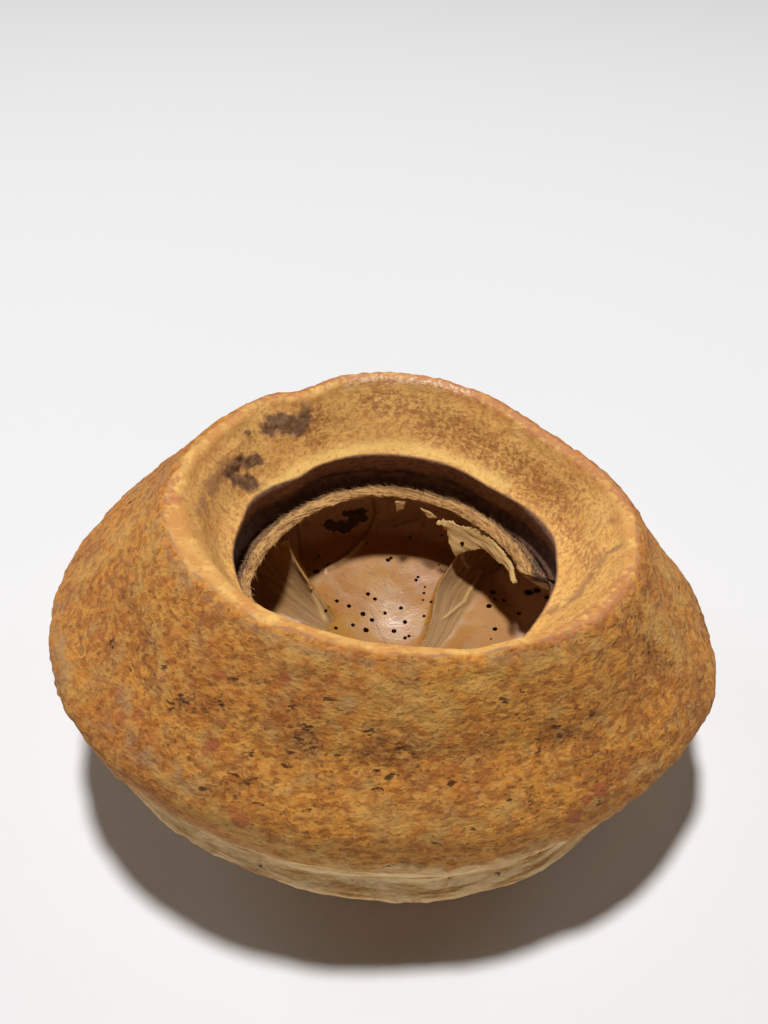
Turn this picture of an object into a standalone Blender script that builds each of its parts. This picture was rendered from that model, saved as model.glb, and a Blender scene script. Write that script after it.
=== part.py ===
# Monkey pot: the empty woody seed pod of a sapucaia tree, lid gone, resting on its stalk scar.
# The pod grew in one piece, so it is one solid: corky wall, bevelled mouth, torn lining and septa.
# It is drawn as an outline turned about the pod's own axis, with every unevenness a formula on it.

import math

import bpy
import numpy as np
from mathutils import Matrix, Vector, noise

MM = 0.001

# Driving sizes in millimetres: radius from the pod's axis and height above the stalk scar.
SCAR_RADIUS = 17.0
EQUATOR_RADIUS = 89.6
RIM_RADIUS = 59.4
RIM_HEIGHT = 88.0
THROAT_RADIUS = 44.2
THROAT_HEIGHT = 68.6
RING_RADIUS = 36.9
RING_HEIGHT = 59.4
CAVITY_RADIUS = 60.0
FLOOR_HEIGHT = 30.2
LEAN_DEG = 3.56
SCAR_SHEAR_END = 60.0

# The outline's stretches, each a smooth line through a few stations of (radius, height).
OUTSIDE = [
    (SCAR_RADIUS, 0.0), (24.0, 2.2), (40.0, 6.4), (62.0, 13.5), (77.5, 20.2), (81.8, 25.0), (83.0, 30.5),
    (86.4, 39.0), (EQUATOR_RADIUS, 48.5), (85.3, 56.3), (76.7, 66.3), (67.8, 78.8), (63.8, 84.4), (61.4, 87.2),
]
RIM = [(61.4, 87.2), (RIM_RADIUS, RIM_HEIGHT), (57.2, 87.3)]
FUNNEL = [(57.2, 87.3), (54.0, 82.0), (51.0, 76.6), (48.0, 72.2), (45.8, 69.9), (THROAT_RADIUS, THROAT_HEIGHT)]
THROAT = [(THROAT_RADIUS, THROAT_HEIGHT), (43.9, 67.2), (44.6, 64.5), (46.0, 61.4)]
CREVICE = [(46.0, 61.4), (49.0, 60.4), (48.4, 58.8), (46.4, 57.0), (44.4, 55.7)]
RING = [
    (44.4, 55.7), (42.5, 56.6), (41.5, 58.3), (40.6, 59.2), (38.7, RING_HEIGHT), (37.4, 58.8), (RING_RADIUS, 57.6),
]
CAVITY = [
    (RING_RADIUS, 57.6), (38.6, 56.0), (43.0, 53.4), (50.0, 50.4), (57.0, 46.6), (CAVITY_RADIUS, 42.0),
    (57.5, 38.2), (50.0, 36.0), (37.0, 34.7), (24.0, 32.6), (10.0, 30.7), (0.0, FLOOR_HEIGHT),
]
ROWS = {"outside": 22, "rim": 3, "funnel": 5, "throat": 3, "crevice": 4, "ring": 5, "cavity": 13}
SECTORS = 84

# Slow waves round the pod, as shares of the radius: cosine and sine of once, twice and three times round.
RIM_WAVES = (0.0, 0.0, 0.023, -0.021, 0.0, -0.025)
SHOULDER_WAVES = (-0.025, 0.040, 0.028, -0.017, 0.015, -0.025)
BASE_WAVES = (-0.035, 0.025, 0.012, 0.010, -0.020, 0.004)
# How much of each wave the outside takes, by height in millimetres.
WAVE_HEIGHTS = (0.0, 6.0, 15.0, 24.0, 30.0, 39.5, 48.0, 56.0, 66.0, 78.7, 88.0)
RIM_SHARE = (0.0, 0.0, 0.0, 0.0, 0.0, 0.0, 0.0, 0.0, 0.15, 0.7, 1.0)
SHOULDER_SHARE = (0.0, 0.0, 0.0, 0.0, 0.2, 0.6, 1.0, 1.0, 1.0, 0.3, 0.0)
BASE_SHARE = (0.2, 0.5, 1.0, 1.0, 1.0, 0.7, 0.2, 0.0, 0.0, 0.0, 0.0)

# Single swellings and dents round a line: direction and half-width in degrees, size in millimetres.
RIM_SWELLS = (
    (88, 20, 0.9), (37, 19, -2.6), (118, 8, -2.2), (148, 14, -0.8), (2, 14, 0.7), (212, 14, -0.5), (300, 12, -0.5),
)
EQUATOR_SWELLS = ((193, 16, 1.4), (341, 14, 1.1), (28, 16, -0.8))
EQUATOR_HEIGHT = 50.0
EQUATOR_SPREAD = 15.0
RIM_THICKENING = ((206, 26, -3.4), (240, 20, -1.2), (268, 16, -0.6))
RIM_STEPS = ((86, 24, 1.0), (38, 15, -0.6), (119, 8, -1.3), (300, 10, 0.6), (287, 5, -0.7), (236, 16, 0.5))
THROAT_SWELLS = ((100, 26, 0.9), (46, 12, -1.7), (134, 9, -1.9), (10, 12, 1.1), (155, 9, 0.8))
RING_SWELLS = ((98, 18, 1.1), (140, 18, -0.9), (38, 20, -0.7), (185, 12, 0.8))

# Where the lining's edge has broken away to the wall, in degrees.
RING_BREAK = (336.0, 29.0)
BREAK_SOFTNESS = 3.0
BROKEN_RADIUS = 47.5

# Septa: direction in degrees, the side that slopes gently (1 with the angle, -1 against it), then the free
# edge's top height, its bend as radius and height, its foot's radius, and how far the foot swings in degrees.
SEPTA = (
    (53.0, -1, 46.5, 33.5, 41.5, 10.0, -44.0),
    (148.0, 1, 54.5, 34.0, 48.5, 25.0, 0.0),
    (235.0, -1, 52.0, 34.0, 46.0, 14.0, 10.0),
    (325.0, 1, 53.0, 34.0, 46.0, 18.0, -8.0),
)
SEPTUM_RADIUS = 36.0
SEPTUM_STEEP_WIDTH = 2.6
SEPTUM_GENTLE_WIDTH = 10.0
SWING_START = 27.0
SWING_LENGTH = 17.0

# Low relief on the outside: height, half-width and size in millimetres.
OUTSIDE_BANDS = ((40.0, 2.2, 0.9), (31.5, 3.0, -1.3), (25.0, 2.2, 0.8))
RELIEF_HEIGHTS = (17.0, 53.0)
LUMP_SIZE = 24.0
LUMP_HEIGHT = 1.1
KNOB_SIZE = 9.0
KNOB_HEIGHT = 0.5

# A torn strip of lining that hangs from one septum: direction in degrees, lower and upper edge heights.
STRIP = (
    (5, 55.6, 56.6), (12, 54.2, 57.9), (18.4, 54.4, 58.6), (26, 53.3, 59.2), (33.5, 52.3, 59.0), (40, 51.4, 59.0),
    (45, 48.8, 58.6), (50, 45.4, 56.8), (54, 42.6, 55.4), (58.6, 47.6, 55.9), (62.5, 52.2, 54.9), (66, 53.0, 53.8),
)
STRIP_RADIUS = 35.5
STRIP_THICKNESS = 1.5

WOOD_COLOUR = (0.46, 0.25, 0.085, 1.0)
WOOD_ROUGHNESS = 0.85


def smooth_line(stations, rows, crowded=None):
    """Points on a smooth line through the stations, the first one left out, closer where it is crowded."""
    points = np.array(stations, float)
    ends = np.vstack([2 * points[0] - points[1], points, 2 * points[-1] - points[-2]])
    steps = np.linalg.norm(np.diff(points, axis=0), axis=1)
    if crowded:
        middle = (points[1:, 1] + points[:-1, 1]) / 2
        steps *= 1 + (middle > crowded[0]) * (middle < crowded[1])
    places = np.concatenate([[0.0], np.cumsum(steps)]) / steps.sum()
    line = []
    for share in np.linspace(0, 1, rows + 1)[1:]:
        k = min(int(np.searchsorted(places, share)), len(points) - 1) - 1
        k = max(k, 0)
        t = (share - places[k]) / (places[k + 1] - places[k])
        a, b, c, d = ends[k : k + 4]
        line.append(0.5 * (2 * b + (c - a) * t + (2 * a - 5 * b + 4 * c - d) * t**2 + (3 * b - a - 3 * c + d) * t**3))
    return np.array(line)


def waves(angles, shares):
    """Sum of the slow waves round the pod."""
    turns = np.arange(1, len(shares) // 2 + 1)[:, None] * angles
    return (np.array(shares[0::2])[:, None] * np.cos(turns) + np.array(shares[1::2])[:, None] * np.sin(turns)).sum(0)


def swells(angles, places):
    """Sum of the single swellings round a line, in millimetres."""
    total = np.zeros_like(angles)
    for centre, width, size in places:
        apart = (np.degrees(angles) - centre + 180) % 360 - 180
        total += size * np.exp(-((apart / width) ** 2))
    return total


def sector_angles(sectors):
    """Directions round the pod, closer together at the septa."""
    fine = np.linspace(0, 2 * math.pi, 3601)
    crowd = 1 + swells(fine, [(septum[0], 7, 1.6) for septum in SEPTA])
    total = np.concatenate([[0.0], np.cumsum((crowd[1:] + crowd[:-1]) / 2)])
    return np.interp(np.arange(sectors) / sectors * total[-1], total, fine)


def turned(line, angles):
    """Radius and height grids of a line turned about the axis."""
    return np.repeat(line[:, :1], len(angles), 1), np.repeat(line[:, 1:], len(angles), 1)


def outside_stretch(line, angles):
    radius, height = turned(line, angles)
    level = line[:, 1]
    share = np.outer(np.interp(level, WAVE_HEIGHTS, RIM_SHARE), waves(angles, RIM_WAVES))
    share += np.outer(np.interp(level, WAVE_HEIGHTS, SHOULDER_SHARE), waves(angles, SHOULDER_WAVES))
    share += np.outer(np.interp(level, WAVE_HEIGHTS, BASE_SHARE), waves(angles, BASE_WAVES))
    near_rim = np.clip((level - 72) / (RIM_HEIGHT - 72), 0, 1) ** 1.5
    near_equator = np.exp(-(((level - EQUATOR_HEIGHT) / EQUATOR_SPREAD) ** 2))
    swell = np.outer(near_rim, swells(angles, RIM_SWELLS)) + np.outer(near_equator, swells(angles, EQUATOR_SWELLS))
    for centre, width, size in OUTSIDE_BANDS:
        swell += (size * np.exp(-(((level - centre) / width) ** 2)))[:, None]
    return radius * (1 + share) + swell, height + np.outer(near_rim, swells(angles, RIM_STEPS))


def funnel_stretch(line, angles):
    """Rim and funnel: the rim's waves fade into the throat's on the way down."""
    radius, height = turned(line, angles)
    up = np.clip((line[:, 1] - THROAT_HEIGHT) / (RIM_HEIGHT - 1 - THROAT_HEIGHT), 0, 1)
    radius = radius * (1 + np.outer(up, waves(angles, RIM_WAVES)))
    radius += np.outer(up, swells(angles, RIM_SWELLS)) + np.outer(1 - up, swells(angles, THROAT_SWELLS))
    inner_crest = np.clip((RIM_RADIUS - line[:, 0]) / 3, 0, 1) * np.clip((line[:, 1] - THROAT_HEIGHT) / 14, 0, 1)
    radius += np.outer(inner_crest, swells(angles, RIM_THICKENING))
    return radius, height + np.outer(up, swells(angles, RIM_STEPS))


def throat_stretch(line, angles):
    radius, height = turned(line, angles)
    return radius + swells(angles, THROAT_SWELLS), height


def broken(angles):
    """1 where the lining's edge has broken away, 0 where it stands."""
    centre, half = RING_BREAK
    apart = np.abs((np.degrees(angles) - centre + 180) % 360 - 180)
    return 1 / (1 + np.exp((apart - half) / BREAK_SOFTNESS * 4))


def ring_stretch(line, angles):
    radius, height = turned(line, angles)
    gone = broken(angles)
    start = line[:1, 1:]
    radius = radius + swells(angles, RING_SWELLS)
    share = np.clip((BROKEN_RADIUS - line[:, :1]) / (BROKEN_RADIUS - RING_RADIUS), 0, 1) * gone
    return radius + share * (BROKEN_RADIUS - radius), height + share * (start - height) * 0.6


def septum_edge(line, top, bend_radius, bend_height, foot):
    """Points of a septum's free edge for the rows of the cavity: a bent line from its top to its foot."""
    lowest = np.interp(foot, line[::-1, 0], line[::-1, 1])
    rows = np.arange(len(line))
    first = np.argmax(line[:, 1] < top - 1)
    last = np.argmax(line[:, 0] * (line[:, 1] < 40) + 1000 * (line[:, 1] >= 40) < foot)
    t = np.clip((rows - first) / max(last - first, 1), 0, 1)[:, None]
    corners = np.array([(SEPTUM_RADIUS, top), (bend_radius, bend_height), (foot, lowest)])
    edge = (1 - t) ** 2 * corners[0] + 2 * t * (1 - t) * corners[1] + t**2 * corners[2]
    return edge, ((rows >= first) & (rows < last)).astype(float)[:, None]


def cavity_stretch(line, angles):
    """The hollow and its septa: near a septum's direction the wall reaches in to the septum's free edge."""
    radius, height = turned(line, angles)
    ceiling = np.clip((52 - line[:, :1]) / 12, 0, 1) * (line[:, 1:] > 50)
    widening = swells(angles, RING_SWELLS) + broken(angles) * (BROKEN_RADIUS - RING_RADIUS - 1)
    radius = radius + ceiling * widening
    shaped_radius, shaped_height = radius, height
    for direction, gentle, top, bend_radius, bend_height, foot, swing in SEPTA:
        edge, present = septum_edge(line, top, bend_radius, bend_height, foot)
        turn = swing * np.clip((SWING_START - edge[:, :1]) / SWING_LENGTH, 0, 1) ** 2
        apart = (np.degrees(angles) - direction - turn + 180) % 360 - 180
        across = np.radians(apart) * gentle * np.maximum(edge[:, :1], 10)
        gentle_side = np.clip(1 - across / SEPTUM_GENTLE_WIDTH, 0, 1) ** 1.6
        steep_side = np.clip(1 + across / SEPTUM_STEEP_WIDTH, 0, 1)
        reach = np.where(across > 0, gentle_side, steep_side) * present
        shaped_radius = shaped_radius + reach * (edge[:, :1] - radius)
        shaped_height = shaped_height + reach * (edge[:, 1:] - height)
    return shaped_radius, shaped_height


def wall_grid(sectors, rows):
    """Every point of the pod's surface but its two poles, as rows of (x, y, z) in millimetres."""
    angles = sector_angles(sectors)
    outside = np.vstack([[[SCAR_RADIUS / 2, 0.0], OUTSIDE[0]], smooth_line(OUTSIDE, rows["outside"], RELIEF_HEIGHTS)])
    crest = np.vstack([smooth_line(RIM, rows["rim"]), smooth_line(FUNNEL, rows["funnel"])])
    stretches = [
        outside_stretch(outside, angles),
        funnel_stretch(crest, angles),
        throat_stretch(np.vstack([smooth_line(THROAT, rows["throat"]), smooth_line(CREVICE, rows["crevice"])]), angles),
        ring_stretch(smooth_line(RING, rows["ring"]), angles),
        cavity_stretch(smooth_line(CAVITY, rows["cavity"])[:-1], angles),
    ]
    radius = np.vstack([r for r, _ in stretches])
    height = np.vstack([h for _, h in stretches])
    grid = np.stack([radius * np.cos(angles), radius * np.sin(angles), height], -1)
    lumps(grid[2 : len(outside) + len(crest)])
    level_scar(grid[: len(outside)])
    return grid


def level_scar(grid):
    """Shears the underside so that the scar lies level when the pod leans."""
    radius = np.hypot(grid[..., 0], grid[..., 1])
    share = np.clip((SCAR_SHEAR_END - radius) / (SCAR_SHEAR_END - SCAR_RADIUS - 1), 0, 1)
    share[5:] *= grid[5:, :, 2] < 30
    grid[..., 2] += share * grid[..., 0] * math.tan(math.radians(LEAN_DEG))


def lumps(grid):
    """Swells the corky surface in and out by noise, less at the rim."""
    for row in grid:
        for point in row:
            place = Vector(point)
            rise = LUMP_HEIGHT * noise.noise(place / LUMP_SIZE) + KNOB_HEIGHT * noise.noise(place / KNOB_SIZE)
            if point[2] > 84:
                rise *= 0.5
            point[:2] *= 1 + rise / max(np.hypot(point[0], point[1]), 20)


def closed_mesh(name, grid, first_pole, last_pole):
    """A closed mesh from a grid of rings, with a fan at each pole."""
    count, sectors = grid.shape[:2]
    points = [first_pole, *map(tuple, grid.reshape(-1, 3)), last_pole]
    faces = []
    for j in range(sectors):
        k = (j + 1) % sectors
        faces.append((0, 1 + k, 1 + j))
        for i in range(count - 1):
            low, high = 1 + i * sectors, 1 + (i + 1) * sectors
            faces.append((low + j, low + k, high + k, high + j))
        top = 1 + (count - 1) * sectors
        faces.append((top + j, top + k, len(points) - 1))
    mesh = bpy.data.meshes.new(name)
    mesh.from_pydata([[c * MM for c in p] for p in points], [], faces)
    mesh.validate()
    return mesh


def add_object(name, mesh, parent=None):
    obj = bpy.data.objects.new(name, mesh)
    bpy.context.scene.collection.objects.link(obj)
    obj.parent = parent
    return obj


def wood():
    material = bpy.data.materials.new("husk")
    material.use_nodes = True
    shader = material.node_tree.nodes["Principled BSDF"]
    shader.inputs["Base Color"].default_value = WOOD_COLOUR
    shader.inputs["Roughness"].default_value = WOOD_ROUGHNESS
    shader.inputs["Metallic"].default_value = 0.0
    return material


def strip_mesh():
    """The torn strip as a closed band of four-sided rings, tapering at both ends."""
    rings = []
    for direction, low, high in STRIP:
        turn = math.radians(direction)
        inner, outer = STRIP_RADIUS - STRIP_THICKNESS / 2, STRIP_RADIUS + STRIP_THICKNESS / 2
        middle = (low + high) / 2
        section = [(inner, low), (inner - 0.3, middle), (inner, high), (outer, high), (outer - 0.3, middle), (outer, low)]
        rings.append([(r * math.cos(turn), r * math.sin(turn), h) for r, h in section])
    return closed_mesh("strip", np.array(rings), tuple(np.mean(rings[0], 0)), tuple(np.mean(rings[-1], 0)))


def join(pod, others):
    """Unites the other closed pieces with the pod and takes their objects away."""
    group = bpy.data.collections.new("torn")
    for other in others:
        bpy.context.scene.collection.objects.unlink(other)
        group.objects.link(other)
    bpy.context.scene.collection.children.link(group)
    modifier = pod.modifiers.new("join", "BOOLEAN")
    modifier.operation = "UNION"
    modifier.solver = "EXACT"
    modifier.operand_type = "COLLECTION"
    modifier.collection = group
    bpy.context.view_layer.update()
    whole = bpy.data.meshes.new_from_object(pod.evaluated_get(bpy.context.evaluated_depsgraph_get()))
    pod.modifiers.remove(modifier)
    pod.data = whole
    for other in others:
        bpy.data.objects.remove(other)
    bpy.data.collections.remove(group)


def make_pod():
    grid = wall_grid(SECTORS, ROWS)
    pod = add_object("pod", closed_mesh("pod", grid, (0.0, 0.0, 0.0), (0.0, 0.0, FLOOR_HEIGHT)))
    pod.data.materials.append(wood())
    join(pod, [add_object("strip", strip_mesh())])
    lean = Matrix.Rotation(math.radians(LEAN_DEG), 4, "Y")
    corners = np.array([lean @ v.co for v in pod.data.vertices])
    middle = (corners.min(0) + corners.max(0)) / 2
    pod.rotation_euler = lean.to_euler()
    pod.location = (-middle[0], -middle[1], -corners[:, 2].min())
    pod.data.shade_smooth()
    pod.data.set_sharp_from_angle(angle=math.radians(40))
    return pod


def main():
    for obj in list(bpy.data.objects):
        bpy.data.objects.remove(obj)
    make_pod()


main()
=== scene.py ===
# Monkey pot: the empty woody seed pod of a sapucaia tree, dressed in its cork, mouth, lining and torn edge.
# Sizes are in millimetres about the pod's own axis, and are turned to metres as each piece's mesh is made.

import math
import random

import bpy
import numpy as np
from mathutils import Matrix, Vector, noise
from mathutils.bvhtree import BVHTree
from mathutils.kdtree import KDTree

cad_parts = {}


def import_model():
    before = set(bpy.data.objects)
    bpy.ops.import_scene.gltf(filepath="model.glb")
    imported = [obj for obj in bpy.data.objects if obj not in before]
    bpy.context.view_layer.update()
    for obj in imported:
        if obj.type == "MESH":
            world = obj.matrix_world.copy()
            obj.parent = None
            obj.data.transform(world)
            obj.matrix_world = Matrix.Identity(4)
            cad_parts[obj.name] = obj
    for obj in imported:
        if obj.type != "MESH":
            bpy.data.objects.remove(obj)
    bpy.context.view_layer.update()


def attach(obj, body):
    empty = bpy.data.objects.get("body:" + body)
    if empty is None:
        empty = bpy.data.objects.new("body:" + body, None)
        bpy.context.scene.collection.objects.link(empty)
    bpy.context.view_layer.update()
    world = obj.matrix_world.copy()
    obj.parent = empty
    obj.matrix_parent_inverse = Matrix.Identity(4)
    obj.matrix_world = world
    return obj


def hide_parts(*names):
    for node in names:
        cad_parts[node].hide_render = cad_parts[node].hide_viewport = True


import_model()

MM = 0.001

# Where the pod stands: its axis meets the ground here and leans to the right.
AXIS_FOOT = (-0.768, -6.492, 0.0)
LEAN_DEG = 3.56
LEAN = Matrix.Rotation(math.radians(LEAN_DEG), 4, "Y")

# The camera: millimetres right, away and up from the rim's centre, degrees down from level, and its lens.
CAMERA_PLACE = (-4.401, -218.883, 171.996)
CAMERA_DOWN = 39.0
CAMERA_LENS = 36.914
CAMERA_SENSOR = 36
CAMERA_NEAREST = 0.01
VIEW_WIDTH = 768
VIEW_HEIGHT = 1024
VIEW_FOCUS = 1050.0

# The pod's outline: radius from the axis and height above the stalk scar.
SCAR_RADIUS = 17.0
EQUATOR_RADIUS = 89.6
RIM_RADIUS = 59.4
RIM_HEIGHT = 88.0
THROAT_RADIUS = 44.2
THROAT_HEIGHT = 68.6
RING_RADIUS = 36.9
RING_HEIGHT = 59.4
CAVITY_RADIUS = 60.0
FLOOR_HEIGHT = 30.2
SCAR_SHEAR_END = 60.0
SCAR_SHEAR_TOP = 30.0
OUTSIDE = [
    (SCAR_RADIUS, 0.0), (24.0, 2.2), (40.0, 6.4), (62.0, 13.5), (77.5, 20.2), (81.8, 25.0), (83.0, 30.5),
    (86.4, 39.0), (EQUATOR_RADIUS, 48.5), (85.3, 56.3), (76.7, 66.3), (67.8, 78.8), (63.8, 84.4),
    (61.4, 87.2),
]
RIM = [(61.4, 87.2), (RIM_RADIUS, RIM_HEIGHT), (57.2, 87.3)]
FUNNEL = [
    (57.2, 87.3), (54.0, 82.0), (51.0, 76.6), (48.0, 72.2), (45.8, 69.9), (THROAT_RADIUS, THROAT_HEIGHT),
]
THROAT = [(THROAT_RADIUS, THROAT_HEIGHT), (44.4, 67.7), (45.2, 64.6), (46.0, 61.4)]
CREVICE = [(46.0, 61.4), (49.0, 60.4), (48.4, 58.8), (46.4, 57.0), (44.4, 55.7)]
RING = [
    (44.4, 55.7), (42.5, 56.6), (41.5, 58.3), (40.6, 59.2), (38.9, RING_HEIGHT), (37.6, 59.1),
    (RING_RADIUS, 58.5),
]
CAVITY = [
    (RING_RADIUS, 58.5), (38.2, 57.0), (43.0, 53.4), (50.0, 50.4), (57.0, 46.6), (CAVITY_RADIUS, 42.0),
    (57.5, 38.2), (50.0, 36.0), (37.0, 34.7), (24.0, 32.6), (10.0, 30.7), (0.0, FLOOR_HEIGHT),
]
# The back of the lining and the husk's wall behind it, which only insect holes show.
LINING_BACK = [(20.0, 29.8), (50.0, 33.9), (60.5, 37.8), (61.6, 42.0), (58.6, 48.2), (51.0, 52.6)]
HUSK_BEHIND = [(60.0, 54.0), (63.0, 42.0), (56.0, 34.0), (24.0, 28.4)]

HUSK_SECTORS = 640
HUSK_ROWS = {"scar": 4, "outside": 100, "rim": 8, "funnel": 24, "throat": 5, "crevice": 5}
LINING_SECTORS = 560
LINING_ROWS = {"ring": 28, "cavity": 112}

# Slow waves round the pod, as shares of the radius: cosine and sine of once, twice and three times round.
RIM_WAVES = (0.0, 0.0, 0.023, -0.021, 0.0, -0.025)
SHOULDER_WAVES = (-0.025, 0.040, 0.028, -0.017, 0.015, -0.025)
BASE_WAVES = (-0.035, 0.025, 0.012, 0.010, -0.020, 0.004)
WAVE_HEIGHTS = (0.0, 6.0, 15.0, 24.0, 30.0, 39.5, 48.0, 56.0, 66.0, 78.7, 88.0)
RIM_SHARE = (0.0, 0.0, 0.0, 0.0, 0.0, 0.0, 0.0, 0.0, 0.15, 0.7, 1.0)
SHOULDER_SHARE = (0.0, 0.0, 0.0, 0.0, 0.2, 0.6, 1.0, 1.0, 1.0, 0.3, 0.0)
BASE_SHARE = (0.2, 0.5, 1.0, 1.0, 1.0, 0.7, 0.2, 0.0, 0.0, 0.0, 0.0)

# Single swellings and dents round a line: direction and half-width in degrees, size in millimetres.
RIM_SWELLS = (
    (88, 20, 0.9), (37, 19, -2.6), (118, 8, -2.2), (148, 14, -0.8), (2, 14, 0.7), (212, 14, -0.5),
    (300, 12, -0.5),
)
EQUATOR_SWELLS = ((193, 16, 1.4), (341, 14, 1.1), (28, 16, -0.8))
EQUATOR_HEIGHT = 50.0
EQUATOR_SPREAD = 15.0
RIM_THICKENING = ((206, 26, -3.4), (240, 20, -1.2), (268, 16, -0.6))
RIM_STEPS = ((86, 24, 1.0), (38, 15, -0.6), (119, 8, -1.3), (300, 10, 0.6), (287, 5, -0.7), (236, 16, 0.5))
THROAT_SWELLS = ((100, 26, 0.9), (46, 12, -1.7), (134, 9, -1.9), (10, 12, 1.1), (155, 9, 0.8))
RING_SWELLS = ((98, 18, 0.7), (140, 18, -0.6), (38, 20, -0.7), (192, 18, 3.2))
# The rim's swellings fade in from this height on the outside, and its thickening within these distances.
RIM_START = 72.0
CREST_WIDTH = 3.0
CREST_DROP = 14.0

# Where the lining's edge has broken away to the wall, in degrees.
RING_BREAK = (336.0, 29.0)
BREAK_SOFTNESS = 3.0
BROKEN_RADIUS = 47.5
BREAK_DROP = 0.6

# Septa: direction, gentle side, free edge's top, its bend's radius and height, its foot's radius and swing.
SEPTA = (
    (53.0, -1, 46.5, 33.5, 41.5, 10.0, -44.0),
    (148.0, 1, 54.5, 34.0, 48.0, 19.0, 0.0),
    (235.0, -1, 52.0, 34.0, 46.0, 14.0, 10.0),
    (325.0, 1, 53.0, 34.0, 46.0, 18.0, -8.0),
)
SEPTUM_RADIUS = 36.0
SEPTUM_STEEP_WIDTH = 2.6
SEPTUM_GENTLE_WIDTH = 10.0
SEPTUM_CURVE = 1.6
SWING_START = 27.0
SWING_LENGTH = 17.0
# A septum's foot lies below this height.
FLOOR_LEVEL = 40.0
# The hollow's ceiling follows the torn edge: its outer radius, the width of the change and its lowest height.
CEILING_RADIUS = 52.0
CEILING_WIDTH = 12.0
CEILING_HEIGHT = 50.0

# The dimple in the middle of the hollow's floor: depth and half-width.
DIMPLE_DEPTH = 2.6
DIMPLE_WIDTH = 14.0
# Heights at which the hidden backs of the lining and of the husk close on the axis.
FLOOR_BACK = 25.6
HUSK_BACK = 24.8

# Low relief on the outside: height, half-width and size in millimetres.
OUTSIDE_BANDS = ((40.0, 2.2, 0.9), (31.5, 3.0, -1.3), (25.0, 2.2, 0.8))
# Lumps of the husk: size and height in millimetres, halved above one height.
LUMPS = ((24.0, 1.1), (9.0, 0.5))
CALM_ABOVE = 84.0

# Fine relief of the cork: grain size and height in millimetres, and how flat the grains lie.
GRAINS = ((4.2, 0.46), (1.9, 0.34))
GRAIN_FLATNESS = 1.8
CRACK_DEPTH = 0.45
CRACK_WIDTH = 1.1
FLAKE_HEIGHT = 0.5
FLAKE_STRETCH = 0.2
SCAB_HEIGHT = 0.35
# Shares of the fine relief that the crest and the underside lose, and that dark patches add.
CREST_CALM = 0.75
UNDER_CALM = 0.55
DARK_ROUGH = 0.8

# Relief of the lining: size, height and place of its waves, then heights of its threads and marks.
LINING_WAVES = ((13.0, 0.30, 1.0), (4.0, 0.09, 2.0))
TORN_THREADS = 0.5
TORN_RAGS = 0.7
FIN_RELIEF = 0.16
LIP_HEIGHT = 0.8
MOULD_HEIGHT = 0.22

# Depth of the materials' own relief in millimetres, and their gloss.
BUMP_DISTANCE = 0.4
CORK_GLOSS = 0.4
SKIN_GLOSS = 0.8

# A torn strip of lining that hangs from one septum: direction in degrees and height along its two edges.
STRIP_LOW = (
    (5.8, 55.2), (11.6, 54.5), (18.2, 54.5), (25.2, 53.8), (32.4, 53.1), (38.7, 52.4),
    (42.9, 50.6), (47.1, 48.1), (50.7, 46.1), (57.0, 49.5), (62.0, 52.9), (66.0, 53.2),
)
STRIP_HIGH = (
    (5.8, 55.8), (14.3, 56.5), (20.8, 57.1), (28.3, 57.6), (35.3, 57.6), (41.5, 57.7),
    (46.2, 57.5), (50.6, 56.2), (54.2, 55.2), (58.8, 55.6), (62.5, 54.9), (66.0, 54.2),
)
# The strip leans outwards as it rises: its radius at one height, and the radius's growth with height.
STRIP_RADIUS = 36.0
STRIP_LEVEL = 56.0
STRIP_LEAN = 0.4
STRIP_WAVE = 0.6
STRIP_RAGGED = 0.8
STRIP_THICKNESS = 1.3
STRIP_STEPS = 150
STRIP_ROWS = 16
# Small flakes that hang under the torn edge: direction and height of their corners.
SCRAPS = (
    ((88.6, 57.6), (83.4, 57.6), (83.8, 55.6), (87.4, 54.2)),
    ((75.6, 56.4), (70.5, 56.0), (66.7, 54.9), (70.7, 54.2)),
)
SCRAP_RAGGED = 0.16
SCRAP_THICKNESS = 0.8
SCRAP_STEPS = 36

# Cracks seen in the cork: place in the view in pixels, length in millimetres, slope in degrees.
CRACKS_SEEN = (
    (185, 700, 5.0, -12), (218, 701, 3.4, 20), (232, 681, 4.6, -14), (297, 738, 6.0, -12),
    (306, 727, 5.0, -8),
    (252, 755, 3.6, 24), (206, 787, 4.4, -30), (247, 785, 3.6, 5), (254, 807, 4.8, 10), (311, 812, 3.0, 4),
    (370, 734, 5.0, 14), (404, 750, 6.6, -2), (389, 779, 4.6, 20), (376, 789, 3.0, 6), (379, 768, 2.6, 0),
    (314, 746, 3.8, 22), (128, 668, 3.0, -10), (167, 665, 2.6, -16), (520, 690, 2.6, 18),
    (505, 700, 3.0, 10),
    (542, 746, 3.4, 16), (556, 728, 2.8, 6), (532, 798, 3.6, 22), (452, 780, 3.0, -20), (500, 872, 3.4, 14),
    (438, 846, 4.0, -4), (470, 832, 3.4, 4), (330, 700, 4.2, -20), (344, 712, 3.6, -8),
    (284, 764, 3.4, -14),
)
# Cracks elsewhere: draws, share kept where the view shows the cork, and ranges of place, length and slope.
CRACKS_UNSEEN = 420
CRACKS_BETWEEN = 0.25
CRACK_ROWS = (0.25, 0.95)
CRACK_LENGTHS = (1.8, 5.0)
CRACK_SLOPE = 14
CRACK_SEED = 11

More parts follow.
